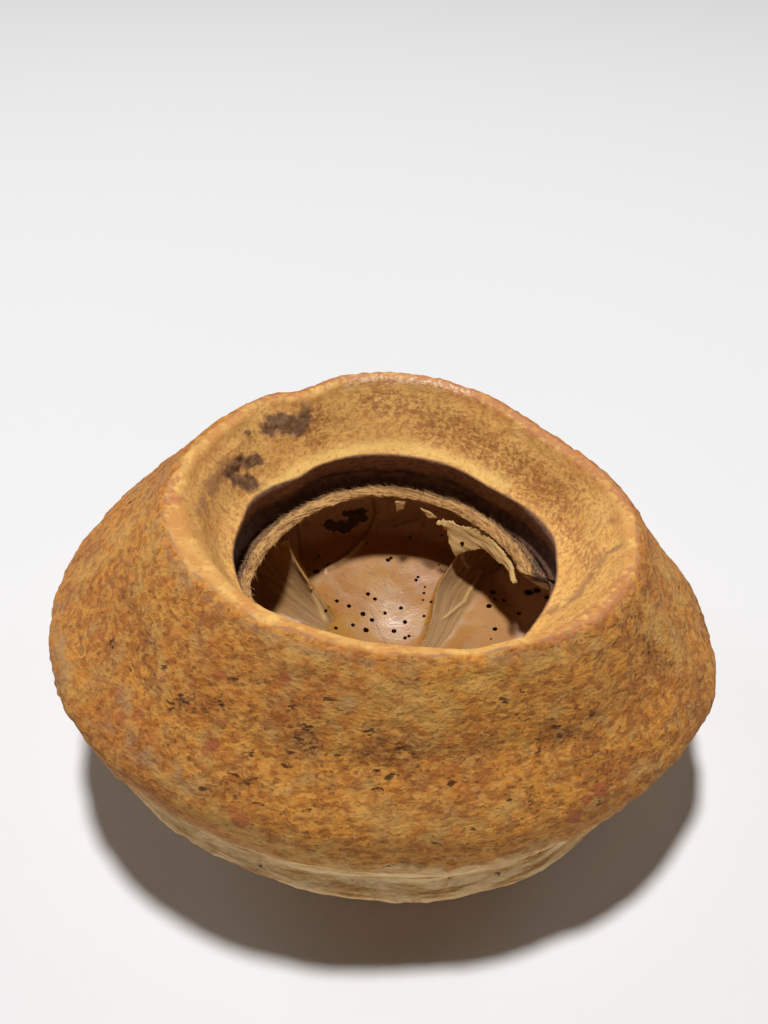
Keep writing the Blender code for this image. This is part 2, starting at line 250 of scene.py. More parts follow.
# Insect holes seen in the lining: place in the view in pixels and diameter in millimetres.
BORES_SEEN = (
    (318, 556, 0.9), (328, 564, 1.0), (316, 571, 1.9), (367, 543, 0.7), (388, 560, 1.3), (391, 558, 1.0),
    (410, 537, 1.2), (368, 594, 1.2), (375, 599, 1.1), (337, 601, 1.1), (349, 606, 1.2), (329, 607, 1.1),
    (326, 611, 1.0), (363, 614, 1.4), (385, 613, 1.0), (372, 620, 1.2), (336, 628, 1.1), (353, 625, 1.1),
    (366, 630, 1.5), (401, 608, 1.1), (405, 622, 1.2), (394, 631, 1.3), (405, 638, 1.0), (409, 636, 0.9),
    (416, 580, 1.0), (418, 577, 0.9), (439, 565, 0.6), (489, 606, 1.5), (493, 592, 1.7), (495, 599, 1.0),
    (495, 629, 1.3), (491, 639, 0.6), (529, 592, 2.6), (537, 590, 2.2), (547, 597, 1.6), (519, 613, 1.5),
    (504, 600, 1.3), (424, 616, 0.9), (431, 602, 0.9), (425, 587, 0.7), (424, 593, 0.8), (423, 600, 0.7),
    (501, 564, 1.2), (438, 520, 1.0), (442, 535, 1.0), (428, 540, 0.5),
)
STRIP_BORES = ((462, 544, 1.3),)
# Insect holes elsewhere: their number, and the part of the view below which the lining is hidden.
BORES_UNSEEN = 34
BORE_WIDTHS = (0.7, 1.6)
BORE_SEED = 5
HIDDEN_BELOW = 650
# Every hole: depth in millimetres, sides, growth of the seen ones, and the depth at which its painted shade
# is full.
BORE_DEPTH = 3.4
BORE_SIDES = 14
HOLE_WEAR = 1.2
HOLE_SHADE_DEPTH = 0.9

# Fibres drawn on the skin: their run round the torn edge and down the septa, and where the torn edge ends.
THREAD_LENGTH = 6.0
FIN_THREADS = 16.0
TORN_RADIUS = 40.2
# Loose fibres of the torn edge: number to a square metre, length and half-width in millimetres.
FIBRE_DENSITY = 1200000.0
FIBRE_LENGTH = 2.8
FIBRE_WIDTH = 0.085
FIBRE_SEED = 4
FIBRE_STRAY = (0.5, 0.5, 0.35)
# Distances in millimetres from the middle of the scene beyond which the lining is painted paler, as painted
# bounce light on the shaded outer floor and walls of the hollow, and beyond which it is duller.
PAINTED_BOUNCE_BEYOND = (38.0, 45.0)
DULL_BEYOND = (24.0, 34.0)

# Marks that the view shows, each with its half-width and then the line that it follows, all in pixels.
MOUTH_MARKS = {
    "scab": (
        (16, (270, 427), (282, 424), (298, 425)), (10, (306, 396), (304, 414)),
        (9, (228, 472), (240, 464), (258, 460)), (11, (238, 480), (254, 484)), (4, (246, 432), (248, 433)),
    ),
    "streak": (
        (10, (212, 486), (226, 468)), (7, (198, 512), (214, 488)), (3, (609, 521), (639, 515)),
        (3, (601, 556), (634, 539)), (4, (576, 597), (605, 556)), (4, (548, 613), (576, 597)),
    ),
    # Partly real abrasion and partly a painted sheen highlight along the back of the crest.
    "rub_and_sheen": ((7, (348, 386), (375, 379), (400, 381), (430, 384), (468, 392)), (6, (516, 428), (526, 436))),
    "worn": (
        (9, (262, 398), (330, 378), (400, 376), (450, 384), (500, 404), (560, 444), (610, 480), (636, 512)),
        (6, (174, 480), (168, 500), (185, 498)), (12, (556, 640), (606, 610), (634, 570)),
    ),
    "mottle": (
        (30, (430, 425), (500, 455), (560, 500)), (18, (370, 400), (430, 415)),
        (16, (312, 400), (318, 440)),
        (14, (560, 520), (590, 560)),
    ),
    "pale": (
        (6, (262, 492), (300, 468), (328, 456), (367, 447), (397, 443), (427, 452), (462, 462), (505, 484)),
    ),
}
CORK_MARKS = {
    # Painted highlight along the lit edge of the low ridge.
    "ridge_highlight": ((10, (387, 871), (456, 862), (515, 849), (561, 828)),),
    # Paler patches of the cork; on the upper front below the crest they are also painted light, where that
    # part is more brightly lit.
    "tan": (
        (7, (143, 513), (122, 537), (104, 555), (77, 579)), (5, (155, 522), (140, 576), (143, 606)),
        (13, (272, 642), (330, 668), (400, 694), (450, 700)),
        (13, (160, 772), (214, 815), (278, 846), (350, 862)),
        (9, (60, 640), (72, 690), (90, 720)), (9, (330, 712), (345, 735)),
        (12, (440, 700), (500, 672), (560, 655)),
        (9, (470, 830), (520, 800)), (8, (660, 560), (680, 600)), (20, (340, 706), (440, 712)),
        (16, (370, 818), (440, 836)), (14, (650, 616), (682, 662)),
    ),
    "rust": (
        (9, (242, 820)), (7, (233, 812)), (8, (212, 747)), (6, (119, 717)), (7, (138, 717)),
        (8, (284, 677)),
        (5, (101, 637)), (9, (574, 817)), (8, (600, 790)), (6, (586, 799)), (6, (205, 750)),
        (6, (222, 675)),
    ),
    "dark": (
        (24, (376, 748), (408, 765)), (14, (286, 728), (312, 742)), (12, (184, 700), (226, 708)),
        (18, (552, 735), (606, 762)), (16, (634, 622), (668, 668)), (9, (531, 796)),
        (12, (250, 786), (206, 790)),
        (10, (160, 820), (215, 850)), (8, (590, 708)), (10, (128, 600), (150, 660)),
    ),
    "grey": (
        (4, (164, 474), (160, 520), (170, 558), (200, 596), (236, 618), (290, 645), (350, 660), (400, 666)),
        (4, (452, 664), (520, 655), (565, 640), (604, 616), (634, 585), (642, 548)),
        (7, (120, 690), (132, 712)), (8, (175, 770), (190, 790)), (6, (330, 690), (352, 705)),
        (8, (58, 606), (62, 680)), (9, (112, 722), (150, 762)),
    ),
}
LINING_MARKS = {
    "lip": (
        (
            2.2, (375, 499.5), (377.6, 514.4), (371.8, 529.4), (362.7, 542), (348.9, 555.8), (337.4, 562.7),
            (326, 569.6),
        ),
        (1.8, (376.4, 523.6), (394.8, 524.2), (420, 515.6)), (1.8, (480, 571), (464, 602), (444, 618)),
        (1.8, (291, 549), (298, 562), (311, 588)),
    ),
    # Painted highlights: the lit edges of the scar's lip and of the septa.
    "light": (
        (1.6, (362.7, 543), (348.9, 557), (337.4, 564), (326, 570.5)),
        (1.4, (480, 571), (464, 602), (444, 618)),
        (2.2, (294, 551), (298, 561), (310, 586), (325, 618)),
    ),
    # Painted shade: thin dark lines in creases and under the edges of steps.
    "line": (
        (0.9, (371, 608), (379, 626), (388, 641)), (1.4, (376, 526), (395, 526.5), (420, 518)),
        (1.7, (373, 500), (375.2, 514), (369.5, 528.6), (360.5, 541), (347, 554)),
        (1.2, (296, 510), (302, 560)),
    ),
    "mould": ((7, (328, 525), (345, 528), (362, 517)), (5, (346, 514), (364, 512))),
}
HUSK_MASKS = (
    "level", "crevice_shade", "tan", "crest", "mouth", "wall", "under", "ridge", "crack", "dark", "rust", "grey",
    "scab", "streak", "rub_and_sheen", "worn", "mottle", "pale",
)
LINING_MASKS = ("torn", "outer", "fin", "light", "mould", "line", "hole")

# How ragged the borders of the finishes are: height, grain size in millimetres and place of each noise.
RAGGED = {
    "level": (0.9, 7.0, 3.0), "crest": (1.6, 6.0, 3.0), "mouth": (0.05, 6.0, 1.0), "crevice_shade": (1.6, 6.0, 0.0),
    "under": (1.6, 14.0, 5.0), "torn": (2.5, 3.0, 0.0), "outer": (0.8, 2.5, 8.0), "fin": (0.05, 4.0, 0.0),
}
# Where each finish starts and where it is full, in rings, shares, millimetres or nearness to a septum's edge.
CREST_SPAN = (0.5, 3.5)
MOUTH_SPAN = (-0.06, 0.16)
UNDER_SPAN = (41.5, 36.0)
TORN_SPAN = (2.0, -1.0)
OUTER_SPAN = (TORN_RADIUS - 0.4, TORN_RADIUS + 0.5)
FIN_SPAN = (0.05, 0.14)
# EDGE_SPAN: nearness to a septum's free edge over which its painted highlight comes in.
EDGE_SPAN = (0.93, 0.985)
# The ridge above the pale underside, pale of its own and with a painted highlight along its lit edge: height,
# half-width, and its strength outside its highlight mark.
RIDGE_LEVEL = 40.6
RIDGE_WIDTH = 0.9
RIDGE_FAINT = 0.3
FUNNEL_MOTTLE = 0.35

# Noises of the cork: how flat each one lies, its grain size in millimetres, its detail and its place.
CORK_GRAINS = {
    "fine": (1.6, 1.2, 3, 0), "small": (1.6, 1.8, 3, 0.3), "blotch": (1.6, 3.1, 3, 5.5),
    "splits": (3.2, 1.9, 3, 6.1), "speck": (1, 1.1, 2, 2.8), "mottle": (1, 1.9, 5, 4.4),
    "crust": (1, 3.4, 5, 8.3), "middle": (1, 4.2, 4, 0.7), "patch": (1, 7.0, 3, 2.3),
    "wide": (1, 11.0, 3, 1.1), "broad": (1, 27.0, 2, 1.9),
}


def tone(red, green, blue):
    """A colour given in the 0 to 255 steps of a screen, as the shader takes it."""
    return tuple(((c / 255 + 0.055) / 1.055) ** 2.4 for c in (red, green, blue)) + (1.0,)


# Colours of the finishes.
AMBER = tone(204, 136, 52)
UMBER = tone(182, 114, 46)
SAND = tone(202, 153, 77)
LICHEN = tone(176, 136, 80)
BARK = tone(146, 82, 30)
FLECK = tone(84, 50, 22)
RUST = tone(160, 84, 46)
GREY = tone(150, 114, 88)
PALE_UNDER = tone(246, 214, 162)
# Pale tone of the low ridge, also its painted highlight.
RIDGE_PALE_AND_HIGHLIGHT = tone(238, 204, 146)
CRACK = tone(58, 26, 12)
CREST = tone(212, 161, 88)
CREST_DEEP = tone(200, 136, 70)
WORN = tone(178, 112, 70)
MOUTH = tone(236, 184, 104)
MOUTH_DEEP = tone(222, 162, 84)
MOTTLE = tone(166, 104, 60)
PALE = tone(244, 202, 116)
MAUVE = tone(148, 102, 72)
SCAB = tone(98, 70, 48)
# Whitish worn tone, partly a painted sheen highlight.
RUBBED_AND_SHEEN = tone(236, 200, 164)
CRUST = tone(130, 96, 66)
# Painted shade: dark browns for the outer slope of the torn edge and the lining's back, in the gap to the
# wall.
EDGE_SHADE = tone(104, 74, 52)
EDGE_SHADE_DEEP = tone(76, 50, 34)
WALL = tone(140, 104, 86)
WALL_DEEP = tone(118, 82, 64)
# Painted bounce light: a paler lining tone for the shaded outer part of the hollow.
SKIN_PAINTED_BOUNCE = tone(212, 182, 158)
SKIN = tone(168, 117, 45)
SKIN_ROSE = tone(162, 108, 45)
SKIN_GREY = tone(150, 120, 80)
# Dark lining tone for flecks, also used as painted shade in creases.
SKIN_DEEP_AND_CREASE_SHADE = tone(108, 68, 40)
FIN = tone(154, 117, 66)
FIN_DEEP = tone(134, 97, 55)
# Pale fibre tone of the septa, also laid on as painted highlight on lit edges and on the torn strip.
FIN_PALE_AND_HIGHLIGHT = tone(208, 170, 108)
TORN = tone(168, 124, 70)
TORN_LIGHT = tone(198, 152, 92)
TORN_DEEP = tone(92, 58, 34)
MOULD = tone(44, 26, 18)
# Painted shade: the dark inside the insect holes and along the crevice under the throat.
HOLE_SHADE = tone(62, 36, 22)

# The floor and the light: name, place, size in metres, power in watts and colour.
FLOOR_SIZE = 8
FLOOR_COLOUR = (0.735, 0.74, 0.75, 1)
FLOOR_ROUGHNESS = 0.8
SKY_STRENGTH = 0.02
LIGHT_AIM = (0, 0, 0.05)
LIGHTS = (
    ("key", (-0.092, 0.102, 2.3), 0.26, 57, (1, 0.99, 0.98)),
    ("fill_left", (-1.9, 1.3, 0.9), 1.2, 10, (0.97, 0.98, 1)),
    ("fill_right", (1.9, 1.3, 0.9), 1.2, 7, (0.97, 0.98, 1)),
    ("front", (0.2, -1.8, 0.2), 1.0, 3.8, (0.98, 0.99, 1)),
)


def world(point):
    """A point about the pod's axis, in millimetres, as a place in the scene in metres."""
    return (LEAN @ Vector(point) + Vector(AXIS_FOOT)) * MM


def smooth_line(stations, rows):
    """Points on a smooth line through the stations, the first one left out."""
    points = np.array(stations, float)
    ends = np.vstack([2 * points[0] - points[1], points, 2 * points[-1] - points[-2]])
    steps = np.linalg.norm(np.diff(points, axis=0), axis=1)
    places = np.concatenate([[0.0], np.cumsum(steps)]) / steps.sum()
    line = []
    for share in np.linspace(0, 1, rows + 1)[1:]:
        k = max(min(int(np.searchsorted(places, share)), len(points) - 1) - 1, 0)
        t = (share - places[k]) / (places[k + 1] - places[k])
        a, b, c, d = ends[k : k + 4]
        curve = 2 * b + (c - a) * t + (2 * a - 5 * b + 4 * c - d) * t**2
        line.append(0.5 * (curve + (3 * b - a - 3 * c + d) * t**3))
    return np.array(line)


def waves(angles, shares):
    """Sum of the slow waves round the pod."""
    cosines, sines = np.array(shares).reshape(-1, 2).T[:, :, None]
    turns = np.arange(1, len(cosines) + 1)[:, None] * angles
    return (cosines * np.cos(turns) + sines * np.sin(turns)).sum(0)


def degrees_off(angles, direction):
    """Degrees from a direction to each angle, from -180 to 180."""
    return (np.degrees(angles) - direction + 180) % 360 - 180


def swells(angles, places):
    """Sum of the single swellings round a line, in millimetres."""
    return sum(size * np.exp(-((degrees_off(angles, centre) / width) ** 2)) for centre, width, size in places)


def turned(line, angles):
    """Radius and height grids of a line turned about the axis."""
    return np.repeat(line[:, :1], len(angles), 1), np.repeat(line[:, 1:], len(angles), 1)


def outside_stretch(line, angles):
    """The husk's outside with its slow waves, its swellings and the low rings of the underside."""
    radius, height = turned(line, angles)
    level = line[:, 1]
    sums = ((RIM_SHARE, RIM_WAVES), (SHOULDER_SHARE, SHOULDER_WAVES), (BASE_SHARE, BASE_WAVES))
    share = sum(np.outer(np.interp(level, WAVE_HEIGHTS, part), waves(angles, wave)) for part, wave in sums)
    near_rim = np.clip((level - RIM_START) / (RIM_HEIGHT - RIM_START), 0, 1) ** 1.5
    near_equator = np.exp(-(((level - EQUATOR_HEIGHT) / EQUATOR_SPREAD) ** 2))
    swell = np.outer(near_rim, swells(angles, RIM_SWELLS))
    swell += np.outer(near_equator, swells(angles, EQUATOR_SWELLS))
    for centre, width, size in OUTSIDE_BANDS:
        swell += (size * np.exp(-(((level - centre) / width) ** 2)))[:, None]
    return radius * (1 + share) + swell, height + np.outer(near_rim, swells(angles, RIM_STEPS))


def funnel_stretch(line, angles):
    """Rim and funnel: the rim's waves fade into the throat's on the way down."""
    radius, height = turned(line, angles)
    up = np.clip((line[:, 1] - THROAT_HEIGHT) / (RIM_HEIGHT - 1 - THROAT_HEIGHT), 0, 1)
    radius = radius * (1 + np.outer(up, waves(angles, RIM_WAVES)))
    radius += np.outer(up, swells(angles, RIM_SWELLS)) + np.outer(1 - up, swells(angles, THROAT_SWELLS))
    inner_crest = np.clip((RIM_RADIUS - line[:, 0]) / CREST_WIDTH, 0, 1)
    inner_crest *= np.clip((line[:, 1] - THROAT_HEIGHT) / CREST_DROP, 0, 1)
    radius += np.outer(inner_crest, swells(angles, RIM_THICKENING))
    return radius, height + np.outer(up, swells(angles, RIM_STEPS))


def throat_stretch(line, angles):
    """The throat and the crevice under it, with the throat's swellings."""
    radius, height = turned(line, angles)
    return radius + swells(angles, THROAT_SWELLS), height


def broken(angles):
    """1 where the lining's edge has broken away, 0 where it stands."""
    centre, half = RING_BREAK
    return 1 / (1 + np.exp((np.abs(degrees_off(angles, centre)) - half) / BREAK_SOFTNESS * 4))


def ring_stretch(line, angles):
    """The torn edge of the lining, drawn back to the wall where it has broken away."""
    radius, height = turned(line, angles)
    radius = radius + swells(angles, RING_SWELLS)
    share = np.clip((BROKEN_RADIUS - line[:, :1]) / (BROKEN_RADIUS - RING_RADIUS), 0, 1) * broken(angles)
    return radius + share * (BROKEN_RADIUS - radius), height + share * (RING[0][1] - height) * BREAK_DROP


def septum_edge(line, top, bend_radius, bend_height, foot):
    """Points of a septum's free edge for the rows of the cavity: a bent line from its top to its foot."""
    lowest = np.interp(foot, line[::-1, 0], line[::-1, 1])
    rows = np.arange(len(line))
    first = np.argmax(line[:, 1] < top - 1)
    last = np.argmax((line[:, 0] < foot) & (line[:, 1] < FLOOR_LEVEL))
    t = np.clip((rows - first) / max(last - first, 1), 0, 1)[:, None]
    corners = np.array([(SEPTUM_RADIUS, top), (bend_radius, bend_height), (foot, lowest)])
    edge = (1 - t) ** 2 * corners[0] + 2 * t * (1 - t) * corners[1] + t**2 * corners[2]
    return edge, ((rows >= first) & (rows < last)).astype(float)[:, None]


def cavity_stretch(line, angles):
    """The hollow and its septa, and how near each point of a gentle side is to its septum's free edge."""
    radius, height = turned(line, angles)
    ceiling = np.clip((CEILING_RADIUS - line[:, :1]) / CEILING_WIDTH, 0, 1) * (line[:, 1:] > CEILING_HEIGHT)
    widening = swells(angles, RING_SWELLS) + broken(angles) * (BROKEN_RADIUS - RING_RADIUS - 1)
    radius = radius + ceiling * widening
    shaped_radius, shaped_height = radius, height
    face = np.zeros_like(radius)
    for direction, gentle, top, bend_radius, bend_height, foot, swing in SEPTA:
        edge, present = septum_edge(line, top, bend_radius, bend_height, foot)
        turn = swing * np.clip((SWING_START - edge[:, :1]) / SWING_LENGTH, 0, 1) ** 2
        across = np.radians(degrees_off(angles, direction + turn)) * gentle * np.maximum(edge[:, :1], 10)
        gentle_side = np.clip(1 - across / SEPTUM_GENTLE_WIDTH, 0, 1) ** SEPTUM_CURVE
        steep_side = np.clip(1 + across / SEPTUM_STEEP_WIDTH, 0, 1)
        reach = np.where(across > 0, gentle_side, steep_side) * present
        shaped_radius = shaped_radius + reach * (edge[:, :1] - radius)
        shaped_height = shaped_height + reach * (edge[:, 1:] - height)
        face = np.maximum(face, reach * (across > 0))
    return shaped_radius, shaped_height, face


def placed(radius, height, angles):
    """A grid of points about the pod's axis."""
    return np.stack([radius * np.cos(angles), radius * np.sin(angles), height], -1)


def level_scar(grid):
    """Shears the underside so that the scar lies level when the pod leans."""
    radius = np.hypot(grid[..., 0], grid[..., 1])
    share = np.clip((SCAR_SHEAR_END - radius) / (SCAR_SHEAR_END - SCAR_RADIUS - 1), 0, 1)
    grid[..., 2] += share * (grid[..., 2] < SCAR_SHEAR_TOP) * grid[..., 0] * math.tan(math.radians(LEAN_DEG))


def grid_normals(grid):
    """Outward normals of a grid of closed rings."""
    along = np.gradient(grid, axis=0)
    around = np.roll(grid, -1, 1) - np.roll(grid, 1, 1)
    normal = np.cross(around, along)
    return normal / np.maximum(np.linalg.norm(normal, axis=-1, keepdims=True), 1e-9)


def noise_at(points, size, shift=0.0):
    """Smooth noise of one grain size at every point."""
    offset = Vector((shift, shift * 0.7, -shift))
    values = [noise.noise(Vector(point) / size + offset) for point in points.reshape(-1, 3)]
    return np.array(values).reshape(points.shape[:-1])


def ragged(grid, border):
    """The noise that makes the border of one finish uneven."""
    height, size, shift = RAGGED[border]
    return height * noise_at(grid, size, shift)


def in_scene(points):
    """Points about the pod's axis, in millimetres, as places in the scene in metres."""
    return (points @ np.array(LEAN.to_3x3()).T + np.array(AXIS_FOOT)) * MM


def ring_faces(rows, sectors, first=0):
    """Four-sided faces between the rings of a grid, whose points are counted from the first."""
    j = np.arange(sectors)
    k = (j + 1) % sectors
    low = first + np.arange(rows - 1)[:, None] * sectors
    return np.stack([low + j, low + k, low + k + sectors, low + j + sectors], -1).reshape(-1, 4).tolist()


def closed_mesh(name, grid, first_pole, last_pole):
    """A closed mesh from a grid of rings, with a fan at each pole."""
    rows, sectors = grid.shape[:2]
    points = np.vstack([[first_pole], grid.reshape(-1, 3), [last_pole]])
    last = len(points) - 1
    top = last - sectors
    sides = [(j, (j + 1) % sectors) for j in range(sectors)]
    fans = [(0, 1 + b, 1 + a) for a, b in sides] + [(top + a, top + b, last) for a, b in sides]
    mesh = bpy.data.meshes.new(name)
    mesh.from_pydata(in_scene(points), [], fans + ring_faces(rows, sectors, 1))
    mesh.shade_smooth()
    return mesh


def add_piece(name, data):
    """A new object of the scene: a piece, the camera or a light."""
    piece = bpy.data.objects.new(name, data)
    bpy.context.scene.collection.objects.link(piece)
    return piece


def store(mesh, name, values):
    """Stores one number, or one direction or place, for each point of a mesh."""
    values = np.asarray(values, np.float32)
    kind, field = ("FLOAT", "value") if values.ndim == 1 else ("FLOAT_VECTOR", "vector")
    mesh.attributes.new(name, kind, "POINT").data.foreach_set(field, values.ravel())


class Value:
    """A socket of a material or geometry tree that is reckoned with like a number."""

    def __init__(self, tree, socket):
        self.tree = tree
        self.socket = socket

    def math(self, operation, *terms):
        return self.tree.node("ShaderNodeMath", {"operation": operation}, dict(enumerate(terms)))

    def __add__(self, other):
        return self.math("ADD", self, other)

    def __sub__(self, other):
        return self.math("SUBTRACT", self, other)

    def __rsub__(self, other):
        return self.math("SUBTRACT", other, self)

    def __mul__(self, other):
        return self.math("MULTIPLY", self, other)

    __radd__ = __add__
    __rmul__ = __mul__

    def between(self, low, high):
        """0 at low and 1 at high, with a soft step from one to the other."""
        limits = {"Value": self, "From Min": low, "From Max": high}
        return self.tree.node("ShaderNodeMapRange", {"interpolation_type": "SMOOTHSTEP"}, limits)


class Tree:
    """The nodes of a material or of a geometry tree."""

    def __init__(self, nodes):
        self.nodes = nodes

    def node(self, kind, settings=None, sockets=None, output=0):
        """Adds a node, fills or links its sockets and gives one of its outputs."""
        node = self.nodes.nodes.new(kind)
        for name, value in (settings or {}).items():
            setattr(node, name, value)
        for place, value in (sockets or {}).items():
            if isinstance(value, Value):
                self.nodes.links.new(value.socket, node.inputs[place])
            else:
                node.inputs[place].default_value = value
        return None if output is None else Value(self, node.outputs[output])

    def mask(self, name):
        return self.node("ShaderNodeAttribute", {"attribute_name": name}, output="Fac")

    def mix(self, share, first, second):
        """A colour that goes from the first to the second with the share."""
        return self.node("ShaderNodeMix", {"data_type": "RGBA"}, {0: share, 6: first, 7: second}, 2)

    def stretched(self, place, scale):
        sockets = {0: place, 1: scale}
        return self.node("ShaderNodeVectorMath", {"operation": "MULTIPLY"}, sockets)

    def grain(self, place, size, detail=2.0, shift=0.0):
        """Noise of one grain size in millimetres, about 0.5 with most of it between 0.3 and 0.7."""
        moved = self.node("ShaderNodeVectorMath", {"operation": "ADD"}, {0: place, 1: (shift, -shift, shift)})
        sockets = {"Vector": moved, "Scale": 1 / (size * MM), "Detail": detail}
        return self.node("ShaderNodeTexNoise", {}, sockets)

    def layers(self, colour, rows):
        """Lays tones over a colour, each by a value, where it starts and is full, its share and tone."""
        for value, start, full, share, top in rows:
            colour = self.mix(value.between(start, full) * share, colour, top)
        return colour


def finish(name, gloss, colour_of):
    """A material with its gloss; colour_of gives its colour, roughness and the height of its fine relief."""
    material = bpy.data.materials.new(name)
    material.use_nodes = True
    tree = Tree(material.node_tree)
    shader = material.node_tree.nodes["Principled BSDF"]
    shader.inputs["Specular IOR Level"].default_value = gloss
    colour, roughness, height = colour_of(tree)
    bump_sockets = {"Height": height, "Distance": BUMP_DISTANCE * MM, "Strength": 1.0}
    bump = tree.node("ShaderNodeBump", {}, bump_sockets)
    for socket, value in (("Base Color", colour), ("Roughness", roughness), ("Normal", bump)):
        material.node_tree.links.new(value.socket, shader.inputs[socket])
    return material


def under_colour(tree, place, grains, masks):
    """The flaked underside: pale layers that run round it, browner towards the stalk."""
    layer = tree.node("ShaderNodeCombineXYZ", {}, {2: masks["level"] * 0.1})
    along_sockets = {0: place, 1: (0.12, 0.12, 0), 2: layer}
    along = tree.node("ShaderNodeVectorMath", {"operation": "MULTIPLY_ADD"}, along_sockets)
    flakes = tree.grain(along, 1.3, 5, 0.4)
    brown = tree.mix(flakes.between(0.42, 0.60), SAND, UMBER)
    return tree.layers(PALE_UNDER, (
        (flakes, 0.40, 0.62, 0.8, SAND),
        (masks["level"], 0.33, 0.18, 0.75, brown),
        (tree.grain(along, 3.0, 3, 3.4), 0.44, 0.62, 0.3, LICHEN),
        (flakes + grains["fine"] * 0.25, 0.70, 0.78, 0.5, BARK),
    ))


def cork_colour(tree, grains, masks, under):
    """Ochre cork with its patches, its pale underside and ridge, and its cracks; also gives the cracks."""
    # The tan marks: the cork's paler patches, and painted light on the upper front.
    tan = masks["tan"] * 0.5 + grains["wide"] * 0.6
    dark = masks["dark"] + grains["wide"].between(0.46, 0.64) * 0.3 - masks["tan"] * 0.4
    blotch = grains["blotch"] + dark * 0.03
    cork = tree.layers(AMBER, (
        (grains["broad"], 0.40, 0.62, 1, UMBER),
        (grains["middle"], 0.47, 0.60, 0.4 + tan.between(0.4, 0.8) * 0.4, SAND),
        (grains["patch"], 0.52, 0.64, 0.55, LICHEN),
        (blotch, 0.47, 0.59, 0.64, BARK),
        (dark, 0.3, 1.2, 0.4, BARK),
        (grains["small"] + dark * 0.04, 0.50, 0.62, 0.36, BARK),
        (grains["middle"], 0.36, 0.52, masks["tan"] * 0.5, SAND),
        (grains["fine"] + dark * 0.07, 0.58, 0.70, 0.62, FLECK),
        (grains["small"], 0.44, 0.36, 0.3, SAND),
        (masks["rust"] + blotch * 0.8 - 0.4, 0.34, 0.60, 0.7, RUST),
        (grains["middle"], 0.40, 0.56, masks["grey"] * 0.5, GREY),
    ))
    cork = tree.mix(masks["under"] * (0.7 + grains["middle"].between(0.36, 0.5) * 0.25), cork, under)
    # The ridge: its own pale tone, stronger where its highlight is painted.
    cork = tree.mix(masks["ridge"] * grains["wide"].between(0.40, 0.55), cork, RIDGE_PALE_AND_HIGHLIGHT)
    cracks = (masks["crack"] * 0.3 + grains["splits"] + dark * 0.03).between(0.72, 0.83)
    return tree.mix(cracks * 0.85, cork, CRACK), cracks


def crest_colour(tree, grains):
    """The smooth orange crest of the rim."""
    return tree.layers(CREST, (
        (grains["wide"], 0.42, 0.58, 0.8, CREST_DEEP),
        (grains["middle"], 0.45, 0.36, 0.4, PALE),
        (grains["small"], 0.50, 0.64, 0.3, CREST_DEEP),
        (grains["fine"], 0.56, 0.66, 0.4, MOTTLE),
    ))


def mouth_colour(tree, grains, masks):
    """The yellow mouth with its mottling, pale band, stains and crusts."""
    thick = masks["mottle"]
    crust = masks["scab"] * 0.62 + grains["crust"] * 0.9
    mouth = tree.layers(MOUTH, (
        (grains["wide"], 0.42, 0.62, 0.5, MOUTH_DEEP),
        (grains["mottle"] + thick * 0.07, 0.50, 0.66, 0.28 + 0.34 * thick, MOTTLE),
        (grains["fine"] + thick * 0.05, 0.52, 0.64, 0.25 + 0.4 * thick, MOTTLE),
    ))
    mouth = tree.mix(masks["pale"] * 0.8, mouth, PALE)
    return tree.layers(mouth, (
        (grains["speck"], 0.62, 0.70, 0.25 + 0.4 * thick, BARK),
        (grains["middle"], 0.36, 0.50, masks["streak"] * 0.7, MAUVE),
        (crust, 0.74, 0.88, masks["scab"].between(0.0, 0.25) * 0.7, MAUVE),
        (crust, 0.88, 0.94, 0.85, tree.mix(grains["fine"].between(0.4, 0.6), SCAB, CRUST)),
    ))


def cork_finish(tree):
    """The husk: worn ochre cork, a smooth orange crest, a flecked yellow mouth and a dark wall under it."""
    place = tree.node("ShaderNodeTexCoord", output="Object")
    masks = {name: tree.mask(name) for name in HUSK_MASKS}
    grains = {}
    for name, (flat, *grain) in CORK_GRAINS.items():
        grains[name] = tree.grain(tree.stretched(place, (1, 1, flat)), *grain)
    rough = 1 - masks["crest"] * 0.85
    cork, cracks = cork_colour(tree, grains, masks, under_colour(tree, place, grains, masks))
    line = masks["crest"] * (1 - masks["crest"]) * (1 - masks["mouth"]) * 4
    skin = tree.mix(masks["crest"], cork, crest_colour(tree, grains))
    skin = tree.layers(skin, ((line, 0.35, 1.0, grains["middle"].between(0.44, 0.6) * 0.7, GREY),))
    skin = tree.mix(masks["mouth"], skin, mouth_colour(tree, grains, masks))
    skin = tree.layers(skin, (
        (masks["worn"] * 0.30 + grains["small"], 0.64, 0.80, 0.7, WORN),
        # Abrasion with a painted sheen highlight on the back of the crest.
        (masks["rub_and_sheen"] * 0.3 + grains["fine"], 0.74, 0.90, 0.75, RUBBED_AND_SHEEN),
    ))
    wall = tree.mix(grains["small"].between(0.42, 0.6), WALL, WALL_DEEP)
    # Painted shade: the wall darkens to the hole shade colour along the crevice under the throat.
    skin = tree.mix(masks["wall"], skin, tree.mix(masks["crevice_shade"], wall, HOLE_SHADE))
    roughness = 0.62 + 0.26 * rough - masks["rub_and_sheen"] * 0.15
    height = (grains["fine"] * 0.9 + grains["small"] * 1.3) * (0.2 + 0.8 * rough) - cracks * rough * 0.9
    return skin, roughness, height


